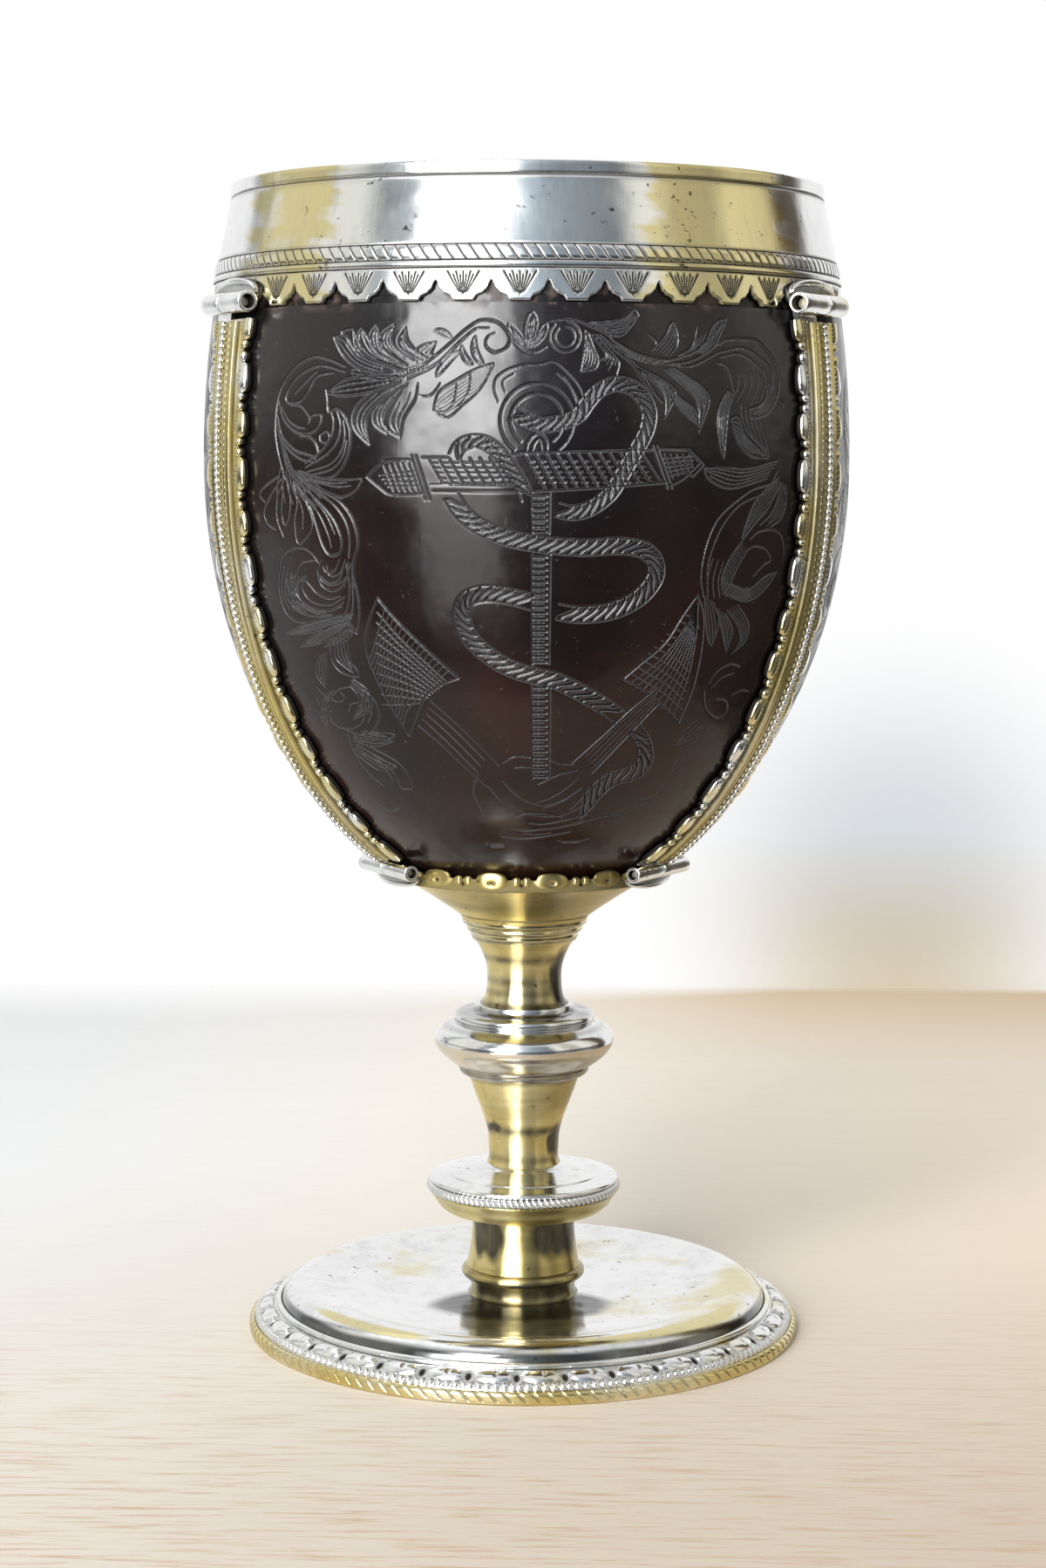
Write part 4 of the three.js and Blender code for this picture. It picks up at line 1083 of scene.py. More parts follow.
def add_strap_tabs(name, side, trim_top, trim_foot):
    """The strap's half of each hinge: a tab that runs on under the barrel."""
    for end, near, far in (("upper", 0.0, trim_top + 0.3), ("lower", RUN - trim_foot - 0.3, RUN)):
        distance = np.linspace(near, far, 12)[:, None]
        low, high = -base_half_width(near) - 0.3, -SEAM / 2
        across = np.concatenate([np.linspace(low, high, 14), np.linspace(high, low, 14)])[None, :]
        lift = np.concatenate([np.full(14, STRAP_LIFT + STRAP_PLATE), np.full(14, STRAP_LIFT)])[None, :]
        grid = on_strap(distance, across + 0 * distance, lift + 0 * distance, side)
        mesh = mesh_from_grid(end + "_strap_tab", grid, wrap_rows=False)
        add_piece(end + "_strap_tab_" + name, mesh, silver, sharp=40)


FLUTE_PROFILE = [
    (0, 0.35), (0.5, 0.35), (0.58, 0.36), (0.66, 0.3), (0.85, 0.17), (1.1, 0.12), (1.35, 0.19),
    (1.55, 0.36), (1.64, 0.48), (1.7, 0.5), (1.77, 0.42), (1.84, 0.44), (1.98, 0.25), (2.2, 0.14),
    (2.45, 0.17), (2.66, 0.32), (2.8, 0.48), (2.88, 0.5), (2.96, 0.4), (3.0, -0.1),
]


def add_moulding(name, side):
    """Two hollow flutes on each side of the bead wire, with a fine line between them."""
    start = 2.4
    distance = np.linspace(start, RUN - 2.0, 320)[:, None]
    half, rise = np.array(FLUTE_PROFILE).T
    across = np.concatenate([-half[::-1], half[1:]])[None, :]
    rise = np.concatenate([rise[::-1], rise[1:]])[None, :]
    floor = STRAP_LIFT + STRAP_PLATE + 0.25
    squeeze = 1 - 0.1 * distance / RUN
    dents = 0.02 * np.sin(distance * 1.1 + 2 * np.sin(distance * 0.37))
    lift = floor + rise * (0.94 + dents)
    grooves = ((1.78, 0.07), (0.58, 0.1), (3.02, 0.08))
    line = sum(cuts(np.abs(across) - place, width) for place, width in grooves)
    under = np.array([3.0, 0, -3.0])[None, :]
    across_all = np.hstack([across * squeeze, under * squeeze])
    lift_all = np.hstack([lift, np.full((len(distance), 3), STRAP_LIFT + STRAP_PLATE - 0.1)])
    # The moulding's underside gets painted shade
    recess = np.hstack([unit(line + 0 * distance), np.full((len(distance), 3), 0.5)])
    grid = on_strap(distance, across_all, lift_all, side)
    mesh = mesh_from_grid("strap_moulding_" + name, grid, wrap_rows=False, fields={"recess": recess})
    add_piece("strap_flutes_" + name, mesh, gilt, ["strap_moulding_" + name], sharp=70)


def add_bead_wire(name, side):
    pitch, radius, around = 0.97, 0.45, 14
    start, end = 2.5, RUN - 2.0
    beads = round((end - start) / pitch)
    rows = beads * 9
    share = np.arange(rows + 1) / rows
    distance = start + (end - start) * share[:, None]
    phase = (share * beads % 1)[:, None] * 2 - 1
    size = radius * np.maximum(0.42, np.sqrt(np.clip(1 - phase ** 2, 0, None)))
    turn = (np.arange(around) / around * TURN)[None, :]
    middle = STRAP_LIFT + STRAP_PLATE + 0.6 + radius
    grid = on_strap(distance, size * np.cos(turn), middle + size * np.sin(turn), side)
    recess = unit(1.15 - size / radius * 1.25) + 0 * turn
    mesh = mesh_from_grid("strap_bead_wire_" + name, grid, wrap_rows=False, fields={"recess": recess})
    add_piece("strap_beads_" + name, mesh, silver, ["strap_bead_wire_" + name])


def placed(r, across, z, side):
    """Points from radius, tangential distance and height, turned to a strap's side."""
    turn = math.radians(side)
    x = r * math.cos(turn) - across * math.sin(turn)
    y = r * math.sin(turn) + across * math.cos(turn)
    return np.stack(np.broadcast_arrays(x, y, z), -1)


def turned_across(outline, turns, axis_r, axis_z, side):
    """An outline of radii and places along the pin's axis, turned about that axis."""
    turn = (np.arange(turns) / turns * TURN)[:, None]
    r, along = outline[None, :, 0], outline[None, :, 1]
    return placed(axis_r + r * np.cos(turn), along, axis_z + r * np.sin(turn), side)


def barrel_mesh(name, axis_r, axis_z, radius, bore, low, high, side):
    outline = rounded([
        (bore, low, 0.12), (radius, low, 0.22), (radius, high, 0.22), (bore, high, 0.12),
    ], closed=True, steps=6)
    outline = stepped(outline, 1.5, True)
    grid = turned_across(outline, 48, axis_r, axis_z, side)
    # The bore gets painted shade
    inside = np.broadcast_to(unit((bore + 0.2 - outline[:, 0]) / 0.15), grid.shape[:2])
    return mesh_from_grid(name, grid, fields={"recess": inside})


def pin_mesh(name, axis_r, axis_z, radius, half, side):
    outline = rounded([(0, -half), (radius, -half, 0.12), (radius, half, 0.12), (0, half)])
    grid = turned_across(outline, 32, axis_r, axis_z, side)
    return mesh_from_grid(name, grid, wrap_cols=False, poles=True)


def leaf_mesh(name, radius, half, root_z, edge_z, side):
    """A half-moon leaf bent round the mount: a hollow field inside a thick rounded rim."""
    t = np.linspace(-1, 1, 72)[:, None]
    across = half * np.sin(t * math.pi / 2)
    arch = np.sqrt(np.clip(1 - (across / half) ** 2, 0, None))
    edge = root_z + (edge_z - root_z) * (0.2 + 0.8 * arch)
    share = np.array([0, 0, 0.35, 0.5, 0.58, 0.66, 0.78, 0.9, 0.97, 1, 1, 1])[None, :]
    stand = np.array([0, 0.2, 0.2, 0.25, 0.5, 0.72, 0.85, 0.78, 0.6, 0.35, 0.1, 0])[None, :]
    z = root_z + (edge - root_z) * share
    grid = turned(radius + stand, across / radius + math.radians(side), z)
    # Painted shade where the leaf meets the mount and in its hollow field
    recess = np.array([0.9, 0.8, 0.7, 0.6, 0.35, 0, 0, 0, 0, 0.2, 0.8, 0.9])[None, :] + 0 * t
    return mesh_from_grid(name, grid, wrap_rows=False, fields={"recess": recess})


def add_hinge(name, side, end):
    if end == "upper":
        axis_r, axis_z, pin_half, pin_radius = UPPER_R, UPPER_Z, UPPER_HALF, UPPER_PIN
        node, leaf_reach, leaf_half = "rim_hinge_leaf_", 2.3, 1.0
    else:
        axis_r, axis_z, pin_half, pin_radius = LOWER_R, LOWER_Z, LOWER_HALF, LOWER_PIN
        node, leaf_reach, leaf_half = "calyx_hinge_leaf_", -1.7, 0.8
    bore = pin_radius + PIN_CLEARANCE
    radius = bore + BARREL_WALL
    half = pin_half + PIN_RECESS
    shift = BARREL_SHIFT[name] if end == "upper" else 0.0
    knuckle = barrel_mesh(end + "_knuckle", axis_r, axis_z, radius, bore, shift - half, -SEAM / 2, side)
    add_piece(end + "_strap_knuckle_" + name, knuckle, silver, sharp=50)
    barrel = barrel_mesh(end + "_barrel", axis_r, axis_z, radius, bore, SEAM / 2, shift + half, side)
    add_piece(end + "_leaf_knuckle_" + name, barrel, silver, [node + name], sharp=50)
    leaf_radius = axis_r - radius
    reach = math.copysign(radius * 0.85, leaf_reach)
    root_z = axis_z + reach
    leaf = leaf_mesh(end + "_leaf", leaf_radius, leaf_half * half, root_z, root_z + leaf_reach, side)
    add_piece(end + "_half_moon_" + name, leaf, silver, sharp=60)
    pin = pin_mesh(end + "_pin", axis_r, axis_z, pin_radius, pin_half, side)
    replaced, body = [end + "_hinge_pin_" + name], end + "_pin_" + name
    add_piece(end + "_pin_wire_" + name, pin, pin_wire, replaced, body, sharp=40)


def add_straps():
    for name, side in SIDES.items():
        add_strap(name, side)
        add_moulding(name, side)
        add_bead_wire(name, side)
        add_hinge(name, side, "upper")
        add_hinge(name, side, "lower")


# Camera: 442.6 mm from the cup's axis, 128.7 mm above the table, a little to the right of the front
CAMERA_DISTANCE = 442.6
CAMERA_HEIGHT = 128.7
CAMERA_AZIMUTH = math.radians(1.2)
CAMERA_PITCH = math.radians(5.97)
CAMERA_ROLL = math.radians(0.25)
CAMERA_SHIFT = 2.5
FOCAL_PIXELS = 3411
IMAGE_HEIGHT = 1798
PRINCIPAL_X, PRINCIPAL_Y = 600, 899
SENSOR = 36.0


# Engraving: strokes are drawn in pixels of the photograph's frame and laid on the nut from the camera
def on_nut(pixels):
    """Where the camera's rays through the pixels meet the nut, in mm."""
    pixels = np.asarray(pixels, float)
    sin_a, cos_a = math.sin(CAMERA_AZIMUTH), math.cos(CAMERA_AZIMUTH)
    sin_p, cos_p = math.sin(CAMERA_PITCH), math.cos(CAMERA_PITCH)
    eye = np.array([CAMERA_DISTANCE * sin_a, -CAMERA_DISTANCE * cos_a, CAMERA_HEIGHT])
    right = np.array([cos_a, sin_a, 0])
    ahead = np.array([-sin_a * cos_p, cos_a * cos_p, -sin_p])
    up = np.array([-sin_a * sin_p, cos_a * sin_p, cos_p])
    sin_r, cos_r = math.sin(CAMERA_ROLL), math.cos(CAMERA_ROLL)
    right, up = cos_r * right + sin_r * up, cos_r * up - sin_r * right
    across = pixels[:, :1] - PRINCIPAL_X - CAMERA_SHIFT
    rays = FOCAL_PIXELS * ahead + across * right + (PRINCIPAL_Y - pixels[:, 1:]) * up
    hits = []
    for depth in (NUT_LOWER, NUT_UPPER):
        scale = np.array([1 / NUT_RADIUS, 1 / NUT_RADIUS, 1 / depth])
        start = (eye - [0, 0, NUT_MIDDLE]) * scale
        along = rays * scale
        a = (along ** 2).sum(1)
        b = (along * start).sum(1)
        c = (start ** 2).sum() - 1
        root = np.sqrt(np.clip(b * b - a * c, 0, None))
        hits.append(eye + rays * ((-b - root) / a)[:, None])
    return np.where(hits[0][:, 2:] < NUT_MIDDLE, hits[0], hits[1])


# Share of each stroke's given width that is cut, and the depth of a cut as a share of its width
STROKE = 0.8
CUT_DEPTH = 1.5
LEAF_WIDTH = 0.13
ROPE_PITCH = 6.0
ROPE_LEAN = 1.1
# Top of the anchor's stock, which hides the foot of its ring
STOCK_TOP = 518
# Rows of short dashes on the stock: their number, the pitch of dashes, and how far each row is moved on
DASH_ROWS = 5
DASH_PITCH = 12.5
DASH_MOVE = (3, 6)
# Lines and rungs of the shank: width, the two pixel columns, and how far they stop short of a run's ends
SHANK_LINES = [(0.16, 610, 610.5, 0, 0), (0.13, 631, 630, 0, 0), (0.07, 617, 617, 4, 2)]
SHANK_RUNGS = [(0.2, 612, 627, 3, 2), (0.08, 613, 624, 6, 5)]
SHANK_PITCH = 7.2


def shares(parts, first):
    """Shares of a length that is cut in equal parts, from the first one wanted."""
    return np.arange(first, parts) / parts


# Areas of the engraving, in pixels of the photograph's frame. Each kind of stroke is a list of widths in mm,
# counts and points, in the order in which the method of that name in Drawing takes them.
# Volute and stem at the top left
LEFT_VOLUTE = {
    "line": [
        (0.17, [(457, 431), (484, 419), (512, 397), (535, 377), (553, 367), (573, 370), (585, 385),
         (582, 398), (569, 404), (558, 397), (559, 387), (568, 382)]),
        (0.14, [(466, 434), (490, 424), (512, 409), (528, 392), (546, 377), (562, 376)]),
        (0.1, [(487, 424), (506, 412), (524, 394), (540, 380)]),
        (0.12, [(480, 454), (492, 454), (500, 447), (505, 439)]),
        (0.12, [(524, 440), (520, 462), (508, 476)]),
        (0.12, [(540, 428), (537, 450), (524, 468)]),
    ],
    "leaf": [
        (0.12, 5, 2, (528, 402), (500, 432)),
        (0.3, 4, 1, (530, 396), (543, 418)),
        (0.35, 5, 2, (546, 385), (556, 418)),
        (0.2, 4, 1, (518, 388), (498, 379)),
    ],
    "blade": [
        (7, 0.14, [(567, 417), (547, 423), (522, 437), (503, 450), (497, 471)],
         [(567, 419), (551, 446), (530, 465), (513, 479), (497, 471)]),
    ],
}
# Spray of leaves beside it
LEFT_SPRAY = {
    "blade": [
        (2, 0.17, [(383, 387), (397, 386), (413, 408), (447, 421), (465, 425)],
         [(383, 387), (394, 408), (417, 425), (459, 428)]),
        (2, 0.17, [(415, 377), (407, 392), (420, 410), (451, 420)],
         [(415, 377), (424, 390), (436, 406), (467, 419)]),
        (2, 0.14, [(398, 396), (400, 388), (392, 381), (404, 377)],
         [(398, 396), (410, 404), (414, 398), (404, 377)]),
        (2, 0.17, [(452, 373), (437, 385), (440, 400), (463, 417)],
         [(452, 373), (449, 390), (457, 402), (478, 415)]),
        (2, 0.17, [(432, 374), (425, 385), (430, 402), (452, 416)],
         [(432, 374), (437, 390), (442, 404), (462, 417)]),
        (2, 0.17, [(465, 376), (457, 390), (463, 402), (484, 413)],
         [(465, 376), (467, 390), (476, 402), (492, 412)]),
        (2, 0.14, [(500, 392), (484, 396), (476, 404), (488, 412)],
         [(500, 392), (496, 402), (494, 406), (500, 408)]),
        (2, 0.17, [(375, 451), (397, 435), (430, 431), (463, 431)],
         [(375, 451), (395, 454), (426, 449), (459, 437)]),
        (2, 0.17, [(424, 510), (407, 492), (407, 471), (426, 450), (459, 438)],
         [(424, 510), (420, 488), (426, 471), (447, 452), (467, 440)]),
        (2, 0.17, [(459, 501), (442, 490), (445, 471), (459, 450)],
         [(459, 501), (463, 479), (476, 458), (479, 440)]),
        (2, 0.17, [(444, 497), (430, 486), (431, 470), (446, 452)],
         [(444, 497), (442, 480), (448, 464), (460, 448)]),
    ],
    "hatch": [
        (range(3), 0.1, [(490, 414), (468, 423), (440, 428), (404, 424)],
         [(0, 4), (0, 2.4), (0, 4), (0, 4)]),
    ],
}
# Large scroll on the left
LEFT_SCROLL = {
    "line": [
        (0.16, [(396, 421), (378, 413), (361, 410), (345, 417), (331, 431), (321, 450), (317, 472),
         (316, 497), (320, 523), (327, 550)]),
        (0.14, [(396, 427), (370, 420), (351, 426), (335, 440), (328, 456), (332, 463), (345, 466),
         (355, 479), (354, 485)]),
        (0.13, [(383, 428), (364, 432), (354, 449), (344, 461), (333, 463)]),
        (0.14, [(320, 460), (325, 480), (337, 494), (352, 498), (365, 490), (369, 477), (360, 476),
         (355, 480)]),
        (0.1, [(323, 466), (331, 482), (342, 490), (352, 491)]),
        (0.13, [(318, 476), (324, 500), (338, 516), (352, 521), (361, 524)]),
        (0.1, [(318, 490), (328, 512), (344, 526), (360, 530)]),
        (0.16, [(344, 500), (353, 500), (362, 508), (365, 518), (361, 526)]),
        (0.17, [(374, 447), (376, 460), (377, 472), (385, 469), (394, 475), (401, 489), (402, 508),
         (396, 530), (384, 545), (372, 549)]),
        (0.12, [(380, 472), (383, 484), (380, 500), (368, 517), (350, 531)]),
        (0.12, [(387, 472), (391, 488), (387, 506), (373, 522), (350, 536)]),
        (0.1, [(394, 481), (396, 500), (391, 518), (377, 533), (352, 541)]),
        (0.1, [(398, 505), (393, 524), (380, 538), (356, 545)]),
    ],
    "plain": [
        (0.1, 5, [(367, 499), (374, 495), (378, 500), (375, 507), (368, 506), (367, 499)]),
    ],
    "hatch": [
        (range(4), 0.09, [(338, 452), (345, 444), (352, 436)], [(5, -5), (5, -5), (4, -3)]),
        (range(5), 0.08, [(316, 476), (321, 500), (330, 524)], [(2, 9), (2, 9), (3, 7)]),
    ],
}
# Leaf that points at the anchor's stock, and the fan below it
LEFT_FAN = {
    "line": [
        (0.13, [(343, 540), (367, 548), (392, 550), (415, 549)]),
        (0.14, [(343, 545), (361, 558), (386, 569), (396, 569), (408, 562), (415, 551)]),
        (0.09, [(360, 552), (385, 558), (402, 557)]),
        (0.09, [(355, 549), (380, 554), (398, 553)]),
        (0.17, [(345, 543), (361, 557), (381, 569), (396, 582), (406, 599), (411, 622), (406, 642),
         (405, 660), (410, 680), (412, 702), (409, 727)]),
        (0.12, [(342, 548), (362, 564), (382, 578), (396, 597), (401, 618), (400, 640)]),
        (0.16, [(341, 552), (362, 572), (380, 592), (390, 612), (392, 628), (387, 636), (377, 636),
         (369, 623), (363, 604), (355, 580), (338, 553)]),
        (0.1, [(352, 572), (366, 590), (376, 612), (380, 628)]),
        (0.1, [(358, 570), (374, 590), (384, 612)]),
        (0.14, [(336, 553), (341, 576), (338, 598), (341, 622), (349, 620), (358, 606), (357, 590),
         (347, 568)]),
        (0.09, [(340, 566), (347, 586), (347, 606)]),
        (0.12, [(330, 552), (333, 574), (331, 596), (326, 602), (323, 588), (324, 566)]),
        (0.14, [(325, 552), (318, 572), (318, 596), (325, 616)]),
        (0.13, [(322, 550), (310, 570), (303, 588), (307, 601), (316, 608)]),
        (0.11, [(320, 546), (304, 558), (298, 568), (304, 576)]),
    ],
    "hatch": [
        (range(6), 0.08, [(322, 536), (318, 556), (318, 576)], [(3, 2), (6, 2), (9, 1)]),
        (range(6), 0.08, [(333, 538), (345, 552), (352, 572)], [(4, 1), (5, 2), (8, 0)]),
    ],
}
# Lower scroll on the left
LEFT_LOWER_SCROLL = {
    "line": [
        (0.15, [(365, 646), (359, 637), (350, 630), (339, 629), (329, 634), (323, 643), (321, 658),
         (320, 675), (323, 692), (330, 706), (340, 713), (355, 714), (373, 709)]),
        (0.14, [(361, 643), (347, 646), (341, 658), (338, 674), (343, 686), (352, 694), (366, 700),
         (382, 699), (394, 691)]),
        (0.14, [(339, 670), (348, 665), (355, 671), (364, 681), (377, 687), (390, 684)]),
        (0.1, [(328, 661), (332, 684), (341, 698), (355, 707)]),
        (0.1, [(334, 656), (335, 676), (343, 692), (360, 703), (380, 705)]),
        (0.14, [(364, 655), (368, 670), (379, 678), (391, 674), (399, 661), (399, 645)]),
        (0.12, [(370, 650), (375, 657), (384, 654), (389, 642)]),
        (0.1, [(368, 661), (378, 669), (389, 664), (394, 650)]),
        (0.12, [(397, 647), (401, 674), (398, 698), (392, 710)]),
        (0.1, [(404, 662), (405, 690), (402, 712)]),
        (0.12, [(409, 727), (399, 721), (392, 710), (378, 712)]),
        (0.12, [(342, 658), (333, 675), (338, 698), (359, 707), (384, 706)]),
        (0.13, [(351, 660), (347, 675), (357, 690), (378, 694), (395, 685)]),
        (0.09, [(346, 662), (341, 677), (350, 696), (372, 702), (392, 696)]),
        (0.13, [(367, 644), (365, 660), (378, 671), (395, 665), (403, 646)]),
        (0.12, [(374, 648), (378, 660), (389, 658), (396, 642)]),
    ],
    "blade": [
        (3, 0.14, [(405, 704), (380, 708), (350, 716), (328, 727)],
         [(402, 712), (380, 718), (352, 726), (328, 727)]),
        (3, 0.14, [(400, 712), (376, 720), (352, 734), (345, 742)],
         [(404, 718), (384, 728), (366, 738), (345, 742)]),
        (2, 0.14, [(402, 716), (386, 728), (372, 742)], [(408, 722), (396, 734), (372, 742)]),
    ],
    "hatch": [
        (range(5), 0.09, [(326, 650), (323, 676), (332, 700)], [(4, 3), (4, 3), (5, 1)]),
    ],
}
# Small scrolls and leaves low on the left
LEFT_FOOT = {
    "line": [
        (0.13, [(379, 730), (379, 749), (384, 764), (395, 773), (411, 776), (408, 766), (400, 759)]),
        (0.12, [(363, 789), (374, 799), (388, 805), (395, 800), (390, 794)]),
        (0.1, [(362, 800), (370, 812), (380, 816)]),
        (0.13, [(403, 780), (415, 790), (427, 800), (434, 813), (433, 828), (424, 839), (411, 842),
         (398, 838)]),
        (0.12, [(400, 788), (388, 791), (379, 802), (377, 818), (385, 832), (400, 836), (413, 830),
         (418, 818), (411, 807), (402, 808), (400, 816)]),
        (0.09, [(410, 792), (421, 803), (426, 817), (422, 829)]),
        (0.12, [(411, 863), (432, 871), (450, 884), (460, 904)]),
        (0.12, [(405, 846), (429, 859), (457, 875), (469, 891), (472, 904), (462, 905)]),
        (0.09, [(420, 866), (440, 880), (450, 894)]),
        (0.1, [(398, 842), (406, 862), (420, 884), (440, 902)]),
        (0.1, [(432, 921), (447, 930), (458, 927)]),
    ],
    "blade": [
        (3, 0.14, [(384, 737), (386, 756), (405, 772)], [(397, 725), (399, 746), (405, 772)]),
        (3, 0.14, [(405, 779), (422, 792), (426, 812), (405, 825)],
         [(401, 787), (411, 798), (411, 812), (405, 825)]),
        (2, 0.14, [(405, 842), (434, 846), (451, 850)], [(405, 850), (430, 856), (451, 850)]),
        (2, 0.14, [(409, 854), (438, 871), (455, 879)], [(405, 862), (434, 883), (455, 879)]),
        (2, 0.14, [(366, 752), (362, 772), (372, 788)], [(374, 748), (374, 770), (372, 788)]),
        (2, 0.14, [(372, 796), (366, 816), (376, 836)], [(382, 792), (376, 814), (376, 836)]),
    ],
    "leaf": [
        (0.15, 5, 2, (415, 838), (453, 843)),
    ],
}
# Volute, band and leaves at the top right
RIGHT_VOLUTE = {
    "line": [
        (0.15, [(629, 369), (640, 367), (653, 366), (663, 368), (675, 373), (695, 382), (704, 391)]),
        (0.14, [(744, 384), (752, 392), (750, 401)]),
        (0.14, [(704, 391), (722, 402), (740, 409), (767, 413), (794, 404), (814, 389), (827, 374)]),
        (0.12, [(706, 396), (730, 409), (753, 414), (780, 417), (804, 409), (832, 389)]),
        (0.12, [(712, 404), (740, 415), (769, 418), (794, 420), (826, 404)]),
    ],
    "blade": [
        (4, 0.14, [(675, 370), (706, 368), (719, 363), (728, 355), (733, 362)],
         [(690, 380), (707, 385), (718, 381), (733, 362)]),
        (4, 0.14, [(671, 379), (671, 397), (668, 414), (666, 426)],
         [(675, 382), (681, 400), (686, 412), (682, 423), (666, 426)]),
        (4, 0.14, [(679, 384), (695, 405), (690, 412), (686, 412)],
         [(684, 384), (706, 410), (710, 418), (706, 434)]),
        (3, 0.14, [(688, 384), (712, 404), (732, 422), (752, 453)],
         [(704, 401), (727, 418), (738, 437), (760, 462)]),
    ],
    "arc": [
        (0.15, 1, 24, (647.7, 386), 17.8, -80, 230),
        (0.15, 1, 24, (647.7, 386), 11.5, -80, 230),
    ],
}
# Spray of leaves on the right
RIGHT_SPRAY = {
    "blade": [
        (4, 0.14, [(748, 402), (763, 386), (771, 370), (775, 374)],
         [(768, 408), (776, 398), (778, 387), (775, 374)]),
        (3, 0.14, [(778, 408), (794, 397), (800, 375)], [(790, 408), (804, 398), (813, 386)]),
        (3, 0.14, [(800, 404), (812, 388), (820, 371), (834, 366)],
         [(808, 406), (820, 396), (827, 382), (834, 366)]),
        (4, 0.14, [(740, 425), (760, 436), (771, 444), (775, 454), (763, 480)],
         [(730, 420), (752, 440), (763, 456), (763, 480)]),
        (5, 0.14, [(773, 422), (794, 436), (803, 442), (814, 460), (802, 495)],
         [(762, 424), (786, 444), (800, 462), (802, 495)]),
        (3, 0.14, [(767, 441), (780, 457), (796, 469), (803, 488)],
         [(762, 444), (776, 464), (790, 478), (803, 488)]),
    ],
}
# Large scroll on the right
RIGHT_SCROLL = {
    "line": [
        (0.16, [(826, 396), (832, 391), (847, 389), (867, 391), (879, 402), (889, 417), (894, 437),
         (893, 457), (899, 464)]),
        (0.13, [(827, 404), (854, 400), (882, 420), (887, 436), (885, 449)]),
        (0.1, [(826, 410), (850, 407), (873, 424), (878, 440), (874, 452)]),
        (0.13, [(823, 416), (834, 422), (842, 448)]),
    ],
    "blade": [
        (4, 0.14, [(893, 437), (891, 457), (882, 473), (867, 479), (860, 477)],
         [(878, 438), (880, 452), (873, 464), (860, 470)]),
        (5, 0.14, [(835, 448), (826, 464), (823, 484), (826, 511), (831, 525)],
         [(842, 452), (836, 470), (834, 490), (831, 525)]),
        (4, 0.14, [(839, 481), (847, 479), (855, 500), (881, 525)],
         [(842, 495), (850, 511), (863, 523), (881, 525)]),
        (4, 0.14, [(892, 528), (860, 537), (834, 536), (808, 537)],
         [(880, 548), (839, 560), (814, 550), (808, 539)]),
    ],
    "hatch": [
        (range(5), 0.1, [(850, 462), (852, 482), (862, 500), (880, 516)], [(5, 3), (6, 4), (5, 5), (0, 2)]),
        (range(5), 0.09, [(838, 458), (846, 446), (848, 430)], [(8, 2), (8, -2), (7, -2)]),
    ],
}
# Fan and spiral on the right
RIGHT_FAN = {
    "line": [
        (0.17, [(892, 540), (884, 554), (864, 561), (843, 576), (826, 592), (816, 610), (808, 635),
         (804, 662), (807, 684)]),
        (0.12, [(894, 546), (878, 564), (850, 578), (832, 598), (820, 622), (812, 650), (811, 674)]),
        (0.15, [(861, 618), (870, 610), (884, 607), (895, 613), (899, 627), (899, 638)]),
        (0.13, [(858, 630), (867, 626), (878, 630), (884, 642), (877, 647), (864, 661)]),
    ],
    "blade": [
        (5, 0.14, [(892, 548), (868, 572), (856, 600), (850, 622)],
         [(896, 554), (880, 584), (866, 600), (850, 622)]),
        (4, 0.14, [(896, 552), (892, 572), (884, 590), (872, 602)],
         [(902, 556), (902, 576), (896, 594), (884, 604)]),
        (4, 0.14, [(850, 622), (836, 642), (828, 664), (829, 680)],
         [(858, 630), (846, 650), (838, 668), (829, 680)]),
        (4, 0.14, [(829, 680), (857, 689), (878, 675), (892, 655)],
         [(834, 668), (858, 676), (876, 662), (892, 655)]),
        (3, 0.14, [(808, 684), (811, 729), (816, 741)], [(818, 690), (824, 716), (816, 741)]),
        (3, 0.14, [(822, 698), (828, 724), (833, 748)], [(832, 704), (840, 724), (833, 748)]),
        (3, 0.14, [(834, 700), (847, 719), (849, 736), (839, 750)],
         [(846, 694), (858, 714), (856, 734), (839, 750)]),
    ],
    "hatch": [
        (range(4), 0.1, [(818, 640), (812, 662), (812, 686)], [(6, 2), (6, 2), (7, 0)]),
    ],
}
# Small scrolls low on the right
RIGHT_FOOT = {
    "line": [
        (0.13, [(813, 785), (823, 770), (838, 762), (849, 765)]),
        (0.1, [(816, 790), (828, 778), (842, 772)]),
        (0.13, [(808, 793), (810, 813), (823, 824), (834, 816), (832, 804), (822, 802)]),
        (0.11, [(839, 798), (850, 792), (859, 793)]),
        (0.13, [(801, 851), (785, 872), (770, 887)]),
        (0.1, [(806, 836), (792, 858), (772, 878)]),
        (0.1, [(762, 900), (748, 914), (732, 918)]),
    ],
    "blade": [
        (2, 0.14, [(800, 826), (786, 838), (776, 856)], [(808, 834), (796, 846), (776, 856)]),
    ],
}
# Palmette between the volutes
PALMETTE = {
    "leaf": [
        (-0.1, 6, 2, (605, 398), (583, 372)),
        (0.0, 9, 3, (606, 398), (611, 358)),
        (0.1, 6, 2, (608, 398), (627, 371)),
    ],
    "line": [
        (0.13, [(589, 392), (601, 402), (614, 404), (627, 398)]),
    ],
}
